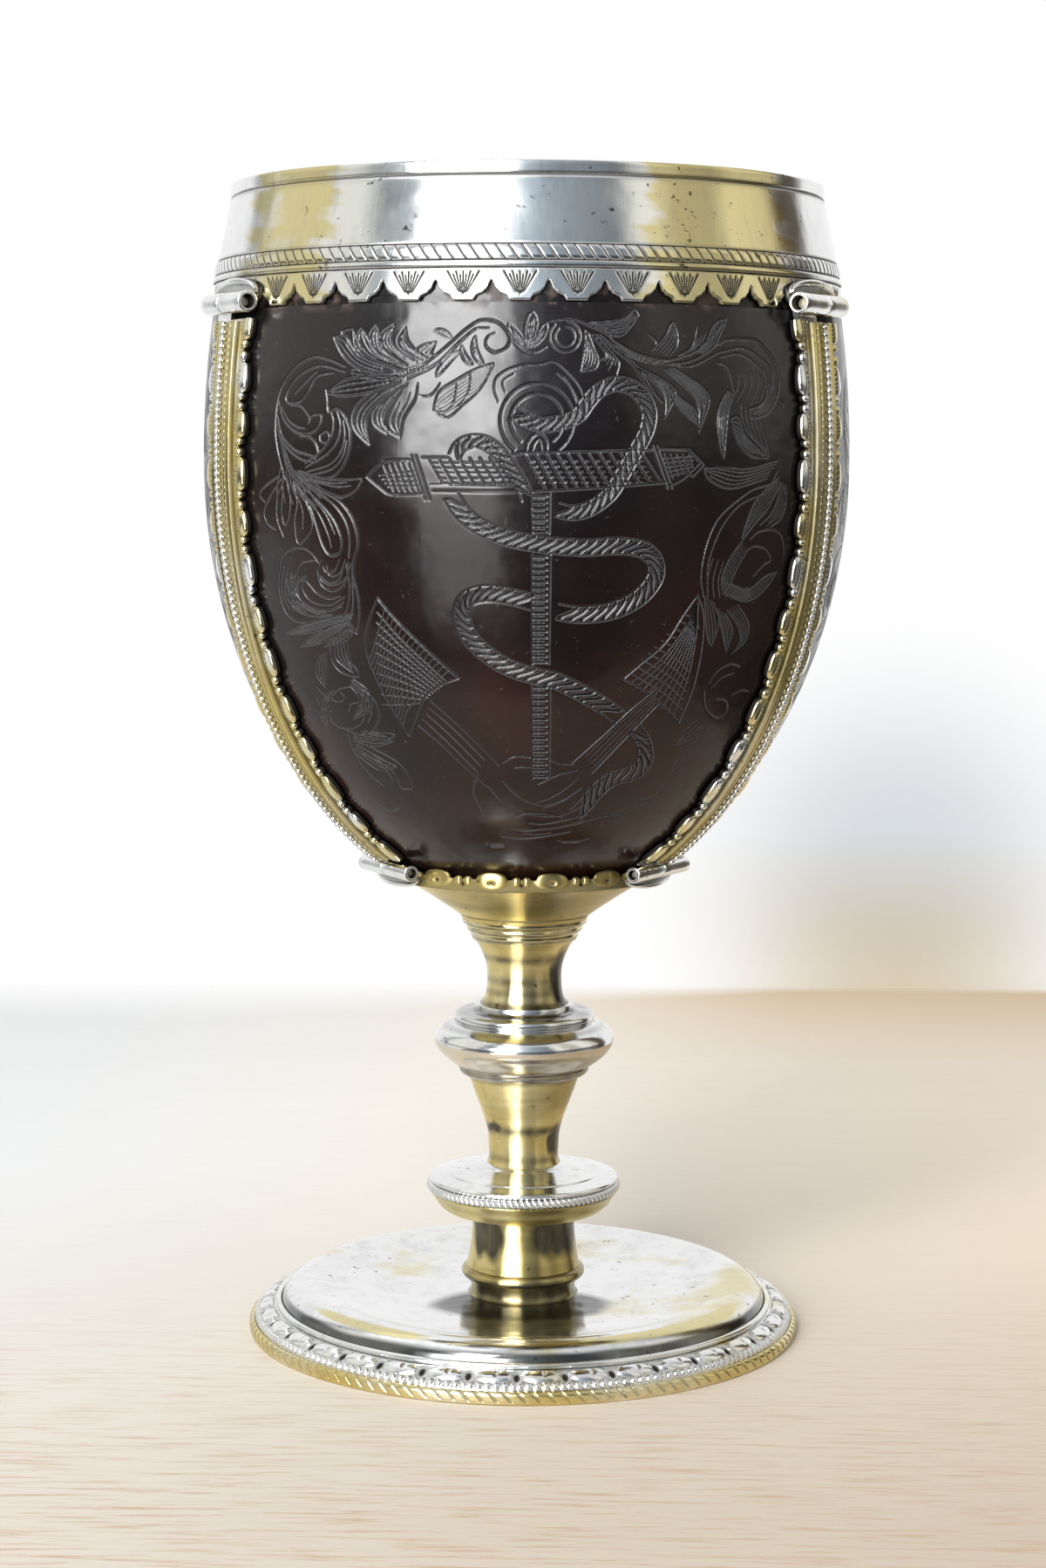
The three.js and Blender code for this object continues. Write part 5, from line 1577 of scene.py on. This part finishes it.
# Anchor's ring and the rope over it
ANCHOR_RING = {
    "line": [
        (0.13, [(572, 461), (567, 446), (571, 432), (592, 421), (619, 418), (636, 416), (654, 431),
         (666, 447), (670, 464)]),
        (0.1, [(580, 450), (577, 438), (590, 429)]),
        (0.12, [(638, 428), (652, 442), (660, 458), (663, 470)]),
        (0.09, [(646, 432), (657, 448), (664, 462)]),
        (0.14, [(604, 517), (606, 507), (613, 499), (621, 498), (627, 506), (628, 518)]),
        (0.1, [(611, 517), (614, 508), (619, 505), (622, 517)]),
    ],
    "arc": [
        (0.16, 2, 40, (616, 482), 42, 128, 412, STOCK_TOP),
        (0.16, 2, 40, (616, 482), 30, 128, 412, STOCK_TOP),
    ],
}
# Anchor's stock
ANCHOR_STOCK = {
    "plain": [
        (0.15, 3, [(421, 547), (441, 530), (472, 528)]),
        (0.15, 3, [(421, 547), (436, 559), (450, 567), (487, 566)]),
        (0.15, 5, [(484, 525), (514, 525)]),
        (0.17, 3, [(497, 563), (560, 564), (606, 564)]),
        (0.1, 3, [(494, 556), (560, 557), (600, 557)]),
        (0.16, 3, [(589, 520), (660, 518), (748, 516)]),
        (0.17, 3, [(606, 564), (694, 559), (764, 553)]),
        (0.15, 1, [(757, 515), (791, 516), (807, 533), (795, 546), (786, 541)]),
        (0.14, 3, [(770, 556), (783, 550), (803, 531)]),
        (0.15, 5, [(472, 523), (488, 573)]),
        (0.15, 5, [(477, 523), (493, 573)]),
        (0.15, 5, [(749, 511), (766, 560)]),
        (0.15, 5, [(754, 511), (771, 560)]),
    ],
    "rungs": [
        (7, 0.12, (441, 534), (468, 530), (452, 563), (480, 563)),
        (5, 0.09, (436, 545), (446, 558), (474, 541), (480, 558)),
        (12.5, 0.13, (492, 527), (574, 525), (508, 555), (594, 556)),
        (12.5, 0.15, (602, 521), (736, 518), (626, 562), (758, 552)),
        (6.5, 0.1, (762, 520), (790, 520), (772, 548), (796, 538)),
        (6, 0.09, (758, 526), (766, 546), (796, 523), (792, 540)),
    ],
    "dashes": [
        (0.12, 9, (494, 531), 572, 4),
        (0.13, 8, (605, 529), 738, 3),
    ],
}
# Runs of the anchor's shank between the turns of the rope, as their first and last pixel rows
SHANK = {"shank": [(566, 612), (636, 762), (786, 894)]}
# Anchor's flukes and arms
ANCHOR_FLUKES = {
    "plain": [
        (0.17, 5, [(433, 686), (455, 712), (490, 746), (526, 778)]),
        (0.14, 5, [(526, 778), (506, 786), (488, 798), (477, 822), (469, 844)]),
        (0.14, 5, [(433, 686), (423, 712), (419, 743), (438, 792), (469, 844)]),
        (0.17, 5, [(715, 779), (734, 763), (763, 738), (783, 707), (800, 683)]),
        (0.15, 5, [(800, 683), (807, 706), (805, 744), (795, 790), (779, 829)]),
        (0.14, 5, [(715, 779), (737, 791), (756, 805), (779, 829)]),
        (0.13, 5, [(494, 804), (520, 827), (545, 851), (572, 878)]),
        (0.13, 5, [(480, 832), (505, 853), (530, 877), (558, 902)]),
        (0.15, 5, [(754, 789), (720, 817), (690, 845), (655, 876)]),
        (0.15, 5, [(757, 806), (730, 834), (704, 861), (679, 887)]),
    ],
    "line": [
        (0.13, [(577, 875), (589, 868), (608, 869)]),
        (0.12, [(590, 881), (600, 880), (609, 881)]),
        (0.13, [(629, 871), (641, 876), (658, 877)]),
        (0.13, [(617, 900), (640, 889), (662, 884)]),
        (0.11, [(560, 902), (578, 922), (606, 934), (640, 936), (668, 924), (690, 900)]),
        (0.1, [(576, 896), (596, 915), (622, 924), (650, 916)]),
        (0.08, [(548, 888), (543, 910), (556, 936)]),
    ],
    "hatch": [
        (shares(11, 1), 0.11, [(433, 690), (462, 728), (516, 780)], [(-10, 130), (8, 88), (-34, 28)],
         [(18, 0), (0, 0), (0, 0)]),
        (shares(16, 1), 0.1, [(436, 692), (428, 730), (421, 752)], [(84, 82), (46, 84), (44, 84)]),
        (shares(10, 1), 0.13, [(801, 690), (786, 716), (754, 754), (716, 780)],
         [(0, 6), (14, 14), (40, 22), (62, 47)]),
        (shares(12, 2), 0.09, [(801, 690), (806, 692), (806, 700)], [(-86, 89), (-50, 112), (-25, 125)]),
        (range(3), 0.07, [(492, 812), (520, 836), (556, 872)], [(-4, 6), (-4, 7), (-4, 7)]),
        (range(4), 0.08, [(748, 798), (712, 829), (672, 868)], [(2, 2), (3, 3), (3, 4)]),
    ],
}
# Rope round the anchor
ROPE_TURNS = {
    "rope": [
        (7, [(521, 524), (529, 511), (546, 506), (563, 511), (577, 524), (589, 541), (599, 558),
         (606, 575)]),
        (8, [(588, 474), (602, 481), (622, 487), (648, 483), (664, 475), (675, 460), (688, 447), (708, 440),
         (730, 447), (744, 468), (742, 493), (727, 521), (712, 547), (699, 567), (677, 583), (656, 588),
         (634, 583)]),
        (9, [(517, 568), (532, 590), (556, 607), (582, 617), (606, 622), (635, 626), (674, 628), (710, 626),
         (737, 630), (750, 641), (753, 658), (744, 675), (727, 690), (698, 702), (664, 705), (636, 701)]),
        (9, [(611, 691), (584, 684), (558, 681), (538, 686), (530, 699), (532, 716), (543, 736), (565, 755),
         (589, 768), (616, 776), (640, 782), (674, 799), (698, 813), (714, 826)]),
        (8, [(728, 836), (738, 851), (741, 867), (736, 880), (722, 888), (703, 893), (686, 906), (672, 922),
         (658, 936)]),
    ],
}
# Waves under the anchor
WAVES = {
    "line": [
        (0.2, [(584, 949), (600, 953), (622, 951), (646, 948), (671, 941)]),
        (0.18, [(592, 937), (604, 933), (620, 933), (645, 937)]),
        (0.18, [(606, 944), (624, 945), (646, 941), (672, 935)]),
        (0.2, [(575, 959), (596, 962), (620, 960), (654, 954)]),
        (0.17, [(660, 946), (684, 938), (706, 935), (730, 930)]),
        (0.17, [(558, 968), (568, 971), (582, 970)]),
        (0.15, [(640, 964), (656, 966), (676, 962)]),
        (0.12, [(600, 956), (614, 957), (632, 955)]),
        (0.13, [(623, 927), (640, 921), (654, 913), (667, 904)]),
        (0.1, [(612, 922), (632, 915), (650, 904), (664, 892)]),
        (0.12, [(735, 925), (750, 915)]),
    ],
}


class Drawing:
    """Strokes in pixels, each a curve with a width in mm at every point. An area names methods to call."""

    def __init__(self, *areas):
        self.strokes = []
        for area in areas:
            for kind, entries in area.items():
                for entry in entries:
                    getattr(self, kind)(*entry)

    def stroke(self, points, width, taper=True, steps=5):
        """A curve through the points. A tapered one swells from its ends to its middle."""
        curve = flowing(points, steps) if len(points) > 2 else np.linspace(*np.array(points, float), 5)
        share = np.linspace(0, 1, len(curve))
        swell = 0.45 + 0.55 * np.sqrt(np.sin(np.pi * np.clip(share, 0.02, 0.98))) if taper else 1 + 0 * share
        self.strokes.append((curve, STROKE * width * swell))

    def line(self, width, points):
        self.stroke(points, width)

    def plain(self, width, steps, points):
        self.stroke(points, width, False, steps)

    def hatch(self, counts, width, points, moves, bends=0.0):
        """Strokes that are each moved on from the first by a count of moves, and bent by its square."""
        for count in counts:
            self.line(width, np.array(points) + count * np.array(moves) + count ** 2 * np.array(bends))

    def arc(self, width, steps, count, centre, radius, first, last, foot=IMAGE_HEIGHT):
        """Part of a circle, above the pixel row of its foot."""
        turn = np.radians(np.linspace(first, last, count))
        circle = np.stack([centre[0] + radius * np.cos(turn), centre[1] + radius * np.sin(turn)], -1)
        self.plain(width, steps, circle[circle[:, 1] < foot])

    def dashes(self, width, length, start, end, end_move):
        """Rows of short dashes from a start point to an end column that moves on by its own step."""
        for row in range(DASH_ROWS):
            y = start[1] + DASH_MOVE[1] * row
            for x in np.arange(start[0] + DASH_MOVE[0] * row, end + end_move * row, DASH_PITCH):
                self.line(width, [(x, y), (x + length, y)])

    def shank(self, low, high):
        """A run of the shank between two pixel rows, shaded from its left."""
        for width, left, right, trim_low, trim_high in SHANK_LINES:
            self.plain(width, 5, [(left, low + trim_low), (right, high - trim_high)])
        for width, left, right, trim_low, trim_high in SHANK_RUNGS:
            top, foot = low + trim_low, high - trim_high
            self.rungs(SHANK_PITCH, width, (left, top), (left, foot), (right, top), (right, foot))

    def leaf(self, bend, fat, veins, root, tip):
        """A pointed leaf with veins. Bend is how far its middle bows aside, as a share of its length."""
        root, tip = np.array(root, float), np.array(tip, float)
        across = np.array([-(tip - root)[1], (tip - root)[0]])
        middle = (root + tip) / 2 + bend * across
        share = np.linspace(0, 1, 13)[:, None]
        axis = (1 - share) ** 2 * root + 2 * share * (1 - share) * middle + share ** 2 * tip
        along = np.gradient(axis, axis=0)
        normal = np.stack([-along[:, 1], along[:, 0]], -1) / np.linalg.norm(along, axis=1, keepdims=True)
        half = fat * 1.7 * share ** 0.75 * (1 - share) ** 0.55
        for side in (-1, 1):
            self.stroke(axis + side * half * normal, LEAF_WIDTH, steps=2)
        for i in range(veins):
            aside = (i + 1) / (veins + 1) * 2 - 1
            last = 9 + (i * 5) % 4
            self.stroke((axis + aside * 0.8 * half * normal)[:last], LEAF_WIDTH * 0.7, steps=2)

    def rope(self, half, points):
        """Two edges and slanting strands between them."""
        path = flowing(points, 12)
        lengths = np.concatenate([[0], np.cumsum(np.linalg.norm(np.diff(path, axis=0), axis=1))])
        even = np.arange(0, lengths[-1], 1.5)
        path = np.stack([np.interp(even, lengths, path[:, i]) for i in (0, 1)], -1)
        along = np.gradient(path, axis=0)
        along /= np.linalg.norm(along, axis=1, keepdims=True)
        normal = np.stack([along[:, 1], -along[:, 0]], -1)
        for side in (-1, 1):
            self.plain(0.14, 3, (path + side * half * normal)[::4])
        reach = ROPE_LEAN * half
        share = np.linspace(-0.92, 0.92, 6)
        for number, place in enumerate(np.arange(reach, even[-1] - reach, ROPE_PITCH)):
            at = place + reach * np.sin(share * math.pi / 2)
            middle = np.stack([np.interp(at, even, path[:, i]) for i in (0, 1)], -1)
            out = np.stack([np.interp(at, even, normal[:, i]) for i in (0, 1)], -1)
            self.stroke(middle + share[:, None] * half * out, 0.06 if number % 2 else 0.25, steps=2)

    def rungs(self, pitch, width, first, last, first_end, last_end):
        """Straight strokes from the edge between first and last to the edge between their ends."""
        first, last, first_end, last_end = np.array([first, last, first_end, last_end], float)
        count = max(2, round(np.linalg.norm(last - first) / pitch) + 1)
        for share in np.linspace(0, 1, count):
            foot = first + (last - first) * share
            end = first_end + (last_end - first_end) * share
            self.plain(width, 5, [foot, end])

    def blade(self, veins, width, first, last):
        """A leaf between two edge curves, filled with strokes that run along it."""
        share = np.linspace(0, 1, 9)
        edges = []
        for edge in (first, last):
            curve = flowing(edge, 5) if len(edge) > 2 else np.array(edge, float)
            steps = np.linspace(0, 1, len(curve))
            edges.append(np.stack([np.interp(share, steps, curve[:, i]) for i in (0, 1)], -1))
        for i in range(veins + 2):
            aside = i / (veins + 1)
            inner = 0 < i < veins + 1
            curve = edges[0] * (1 - aside) + edges[1] * aside
            self.stroke(curve[:9 - (i * 5) % 3 if inner else 9], width * (0.6 if inner else 1), steps=2)


def panel_strokes():
    """Strokes of all three panels as curves on the nut in mm, each with its widths."""
    left = (LEFT_VOLUTE, LEFT_SPRAY, LEFT_SCROLL, LEFT_FAN, LEFT_LOWER_SCROLL, LEFT_FOOT)
    right = (RIGHT_VOLUTE, RIGHT_SPRAY, RIGHT_SCROLL, RIGHT_FAN, RIGHT_FOOT)
    foliage = Drawing(*left, *right, PALMETTE)
    anchor = Drawing(ANCHOR_RING, ANCHOR_STOCK, SHANK, ANCHOR_FLUKES, ROPE_TURNS, WAVES)
    strokes = [(on_nut(curve), width) for curve, width in anchor.strokes]
    for panel in (0, 120, 240):
        sin, cos = math.sin(math.radians(panel)), math.cos(math.radians(panel))
        spin = np.array([[cos, sin, 0], [-sin, cos, 0], [0, 0, 1]])
        strokes += [(on_nut(curve) @ spin, width) for curve, width in foliage.strokes]
    return strokes


def engraving(points, azimuth, angles):
    """Share of bare cut and depth of cut in mm at every point of the nut's grid."""
    cut = np.zeros(points.shape[:2])
    depth = np.zeros(points.shape[:2])
    first = azimuth[0]
    for line, widths in panel_strokes():
        for start in range(0, len(line) - 1, 5):
            part, part_width = line[start:start + 6], widths[start:start + 6]
            reach = 2.4 * part_width.max()
            turn = (np.arctan2(part[:, 1], part[:, 0]) - first) % TURN + first
            angle = nut_angle(part[:, 2])
            margin = reach / np.hypot(part[:, 0], part[:, 1]).min()
            rows = slice(*np.searchsorted(azimuth, [turn.min() - margin, turn.max() + margin]))
            margin = reach / NUT_RADIUS
            cols = slice(*np.searchsorted(angles, [angle.min() - margin, angle.max() + margin]))
            spot = points[rows, cols][:, :, None, :]
            if spot.size == 0:
                continue
            run = part[1:] - part[:-1]
            share = ((spot - part[:-1]) * run).sum(-1) / np.maximum((run ** 2).sum(-1), 1e-9)
            share = unit(share)
            nearest = part[:-1] + share[..., None] * run
            width = part_width[:-1] + share * (part_width[1:] - part_width[:-1])
            distance = (np.linalg.norm(spot - nearest, axis=-1) / width).min(-1)
            groove = CUT_DEPTH * part_width.mean() * cuts(distance, 1)
            depth[rows, cols] = np.maximum(depth[rows, cols], groove)
            cut[rows, cols] = np.maximum(cut[rows, cols], unit(1.5 - distance))
    return cut, depth


def strap_shadow_share(azimuth, angle, radius):
    """Painted shadow on the nut along the straps' edges and beside the upper hinges, as a share."""
    distance = np.interp(angle, RUN_ANGLES[::-1], RUN_LENGTHS[::-1])
    half = base_half_width(distance) + strap_edge(distance)
    strap_shade = np.zeros(radius.shape)
    for side in SIDES.values():
        across = np.radians(np.abs(half_turn(azimuth - side))) * radius
        strap_shade = np.maximum(strap_shade, unit(1.25 - (across - half) / 0.75))
        hinge = np.hypot((across - 7.2) / 1.8, (distance - 1.5) / 1.5)
        strap_shade = np.maximum(strap_shade, unit(1.6 - hinge) * 0.9)
    return strap_shade


def add_nut():
    """The shell as one closed mesh: its engraved outside, its rebate and its inside."""
    low = nut_angle(foot_of("coconut_bowl"))
    shoulder = nut_angle(REBATE_Z)
    fine_from = nut_angle(ENGRAVING_FOOT)
    outside = np.concatenate([np.linspace(low, fine_from, 60)[:-1], np.linspace(fine_from, shoulder, 720)])
    front_from, front_to = -147, -33
    steps = [np.arange(front_from, front_to, 0.12), np.arange(front_to, front_from + 360, 0.24)]
    azimuth = np.radians(np.concatenate(steps))[:, None]
    r, z, _ = nut_surface(outside[None, :])
    cut, depth = engraving(turned(r, azimuth, z), azimuth[:, 0], outside)
    depth_r, depth_z, _ = nut_surface(outside[None, :], -depth)
    inside = np.linspace(nut_angle(NUT_MOUTH), low, 48)
    inner_r, inner_z, _ = nut_surface(inside, -NUT_WALL)
    inner_z[0] = NUT_MOUTH
    inner_r[-1] = 0
    rest_r = np.concatenate([[REBATE_RADIUS, REBATE_RADIUS], inner_r])
    rest_z = np.concatenate([[REBATE_Z, NUT_MOUTH], inner_z])
    full = (len(azimuth), len(rest_r))
    all_r = np.hstack([depth_r, np.broadcast_to(rest_r, full)])
    all_z = np.hstack([depth_z, np.broadcast_to(rest_z, full)])
    all_r[:, 0] = 0
    all_z[:, 0] = all_z[0, 0]
    # Painted shadow of the straps on the nut
    strap_shade = strap_shadow_share(np.degrees(azimuth), outside[None, :], np.broadcast_to(r, cut.shape))
    fields = {"cut": np.hstack([cut, np.zeros(full)]), "strap_shade": np.hstack([strap_shade, np.zeros(full)])}
    fields["inside"] = np.zeros(all_r.shape)
    fields["inside"][:, -len(inner_r) + 2:] = 1
    grid = turned(all_r, azimuth, all_z)
    mesh = mesh_from_grid("coconut_bowl", grid, wrap_cols=False, poles=True, fields=fields)
    add_piece("coconut_shell_engraved", mesh, shell, ["coconut_bowl"], sharp=40)


def build_cup():
    add_foot_border()
    add_foot_wires()
    add_foot_dome()
    add_stem()
    add_calyx()
    add_collar()
    add_lip()
    add_sleeve()
    add_straps()
    add_nut()


build_cup()


# Studio
# Directions from the camera to the middle of the faint shadow on the wall and of the tan glow along the
# board's far edge. Heights in the glow are stretched, which makes it a flat patch.
WALL_SHADOW = (0.104, 0.986, -0.132)
WALL_SHADOW_REACH = 0.1
GLOW_STRETCH = 5
TABLE_GLOW = (0.122, 0.974, -0.189 * GLOW_STRETCH)
TABLE_GLOW_REACH = 0.15
SHADOW_HIGH = (0.68, 0.71, 0.74)
SHADOW_LOW = (0.60, 0.48, 0.28)
GLOW_TAN = (0.63, 0.50, 0.32)
# What the metal mirrors low down in the room and above its walls
ROOM_DARK = (0.02, 0.021, 0.024)
CEILING = (0.74, 0.75, 0.77)
# Azimuth in degrees, 0 towards the camera and positive to its right, and the wall's colour there
WALLS = [
    (-130, (1, 1, 1)), (-124, (0.42, 0.43, 0.44)), (-118, (0.60, 0.60, 0.58)), (-112, (0.92, 0.91, 0.86)),
    (-64, (0.88, 0.87, 0.80)), (-56, (0.26, 0.30, 0.32)), (-42, (0.30, 0.34, 0.37)), (-37, (1, 1, 1)),
    (-8, (1, 1, 1)), (-3, (0.55, 0.66, 0.76)), (12, (0.36, 0.41, 0.47)), (36, (0.20, 0.22, 0.24)),
    (44, (0.95, 0.93, 0.85)), (54, (0.95, 0.93, 0.85)), (60, (0.62, 0.60, 0.52)), (78, (0.58, 0.56, 0.48)),
    (84, (1, 0.98, 0.9)), (106, (0.85, 0.8, 0.7)), (113, (0.10, 0.08, 0.06)), (126, (0.12, 0.10, 0.08)),
    (132, (1, 1, 1)),
]


def patch_on_wall(sky, direction, middle, reach, share):
    """Share of a soft round patch on the wall."""
    distance = sky.vector("DISTANCE", direction, middle)
    return sky.ranged(distance, 0.0, reach, share, 0.0, interpolation_type="SMOOTHERSTEP")


def studio_world():
    """White with a shadow and a glow to the camera, and a room of soft walls to everything else."""
    world = bpy.data.worlds.new("studio")
    bpy.context.scene.world = world
    world.use_nodes = True
    sky = Nodes(world.node_tree)
    direction = sky.add("ShaderNodeTexCoord").outputs["Generated"]
    x, y, z = sky.split(direction)
    azimuth = sky.sums("ARCTAN2", x, sky.sums("MULTIPLY", y, -1))
    walls = sky.add("ShaderNodeValToRGB", {0: sky.ranged(azimuth, -math.pi, math.pi)})
    ramp = walls.color_ramp
    ramp.elements[0].color = (*WHITE, 1)
    for degrees, colour in WALLS:
        stop = ramp.elements.new((degrees + 180) / 360)
        stop.color = (*colour, 1)
    gloom = sky.sums("MULTIPLY", sky.ranged(z, 0.12, 0.0, 0, 0.82), sky.ranged(y, 0.55, 0.35))
    lower = sky.mix(gloom, walls.outputs[0], ROOM_DARK)
    room = sky.mix(sky.ranged(z, 0.7, 0.92), lower, CEILING)
    shadow = patch_on_wall(sky, direction, WALL_SHADOW, WALL_SHADOW_REACH, 1.0)
    shadow_colour = sky.mix(sky.ranged(z, -0.118, -0.172), SHADOW_HIGH, SHADOW_LOW)
    shaded_wall = sky.mix(shadow, WHITE, shadow_colour)
    stretched = sky.vector("MULTIPLY", direction, (1, 1, GLOW_STRETCH))
    glow = patch_on_wall(sky, stretched, TABLE_GLOW, TABLE_GLOW_REACH, 0.85)
    wall = sky.mix(glow, shaded_wall, GLOW_TAN)
    to_camera = sky.add("ShaderNodeLightPath").outputs["Is Camera Ray"]
    sky.fill(sky.nodes["Background"], {"Color": sky.mix(to_camera, room, wall), "Strength": 1.0})


# The board's ends and sides, in metres, and its colours from front to back on either side
BOARD_LEFT, BOARD_RIGHT = -1.2, 0.15
BOARD_FRONT, BOARD_BACK = -0.13, 0.3
LEFT_NEAR, LEFT_FAR = (0.51, 0.475, 0.42), (0.64, 0.65, 0.65)
RIGHT_NEAR, RIGHT_FAR = (0.42, 0.35, 0.27), (0.80, 0.70, 0.57)
GRAIN_BROWN = (0.40, 0.27, 0.17)
FAR_EDGE_TAN = (0.58, 0.43, 0.26)


def floor_material():
    """Pale board: fine grain near the front that fades towards the back, and a far edge that fades out."""
    finish = Finish("floor_board")
    across, away, _ = finish.split(finish.place())
    grain = finish.ranged(finish.noise(60, 6, (1.2, 14, 1), 0.7), 0.5, 0.64)
    near = finish.ranged(away, 0.02, -0.08, 0.06, 0.85)
    left_tone = finish.mix(finish.ranged(away, -0.09, 0.1), LEFT_NEAR, LEFT_FAR)
    right_tone = finish.mix(finish.ranged(away, -0.09, 0.16), RIGHT_NEAR, RIGHT_FAR)
    pale = finish.mix(finish.ranged(across, -0.1, 0.08), left_tone, right_tone)
    wood = finish.mix(finish.sums("MULTIPLY", grain, near), pale, GRAIN_BROWN)
    edge = finish.sums("MULTIPLY", finish.ranged(away, 0.2, 0.3), finish.ranged(across, -0.02, 0.06))
    board = finish.mix(edge, wood, FAR_EDGE_TAN)
    fade_from = finish.ranged(across, -0.08, 0.06, 0.25, 0.292)
    solid = finish.ranged(away, BOARD_BACK, fade_from)
    return finish.done(Base_Color=board, Roughness=0.6, Alpha=solid)


def stage_plane(name, corners, material):
    mesh = bpy.data.meshes.new(name)
    mesh.from_pydata(corners, [], [(0, 1, 2, 3)])
    mesh.materials.append(material)
    plane = bpy.data.objects.new(name, mesh)
    bpy.context.scene.collection.objects.link(plane)


def soft_lamp(name, place, target, size, power):
    lamp = bpy.data.lights.new(name, "AREA")
    lamp.shape = "RECTANGLE"
    lamp.size, lamp.size_y = size
    lamp.energy = power
    lamp_object = bpy.data.objects.new(name, lamp)
    bpy.context.scene.collection.objects.link(lamp_object)
    lamp_object.location = place
    aim = Vector(target) - Vector(place)
    lamp_object.rotation_euler = aim.to_track_quat("-Z", "Y").to_euler()


def add_camera():
    data = bpy.data.cameras.new("photo_view")
    data.sensor_width = SENSOR
    data.lens = FOCAL_PIXELS / IMAGE_HEIGHT * SENSOR
    camera = bpy.data.objects.new("photo_view", data)
    bpy.context.scene.collection.objects.link(camera)
    camera.location = (
        CAMERA_DISTANCE * math.sin(CAMERA_AZIMUTH) * MM,
        -CAMERA_DISTANCE * math.cos(CAMERA_AZIMUTH) * MM,
        CAMERA_HEIGHT * MM,
    )
    camera.rotation_euler = (math.pi / 2 - CAMERA_PITCH, 0, CAMERA_AZIMUTH)
    camera.rotation_euler.rotate_axis("Z", CAMERA_ROLL)
    data.shift_x = -CAMERA_SHIFT / IMAGE_HEIGHT
    bpy.context.scene.camera = camera


# Lamps: name, place and target in metres, size in metres, power in watts
LAMPS = [
    ("window_top", (-0.305, -0.69, 0.70), (0, 0, 0.13), (0.30, 0.34), 5.2),
    ("window", (-0.385, -0.865, 0.335), (0, 0, 0.13), (0.58, 0.42), 12.5),
    ("window_sill", (-0.35, -0.87, -0.12), (0, 0, 0.03), (0.44, 0.5), 1.8),
    ("overhead", (-0.3, 0.3, 1.3), (0, 0, 0.1), (1.0, 1.0), 1.5),
]

studio_world()
board_corners = [
    (BOARD_LEFT, BOARD_FRONT, 0), (BOARD_RIGHT, BOARD_FRONT, 0),
    (BOARD_RIGHT, BOARD_BACK, 0), (BOARD_LEFT, BOARD_BACK, 0),
]
stage_plane("table", board_corners, floor_material())
for lamp in LAMPS:
    soft_lamp(*lamp)
add_camera()
bpy.context.scene.view_settings.view_transform = "Standard"
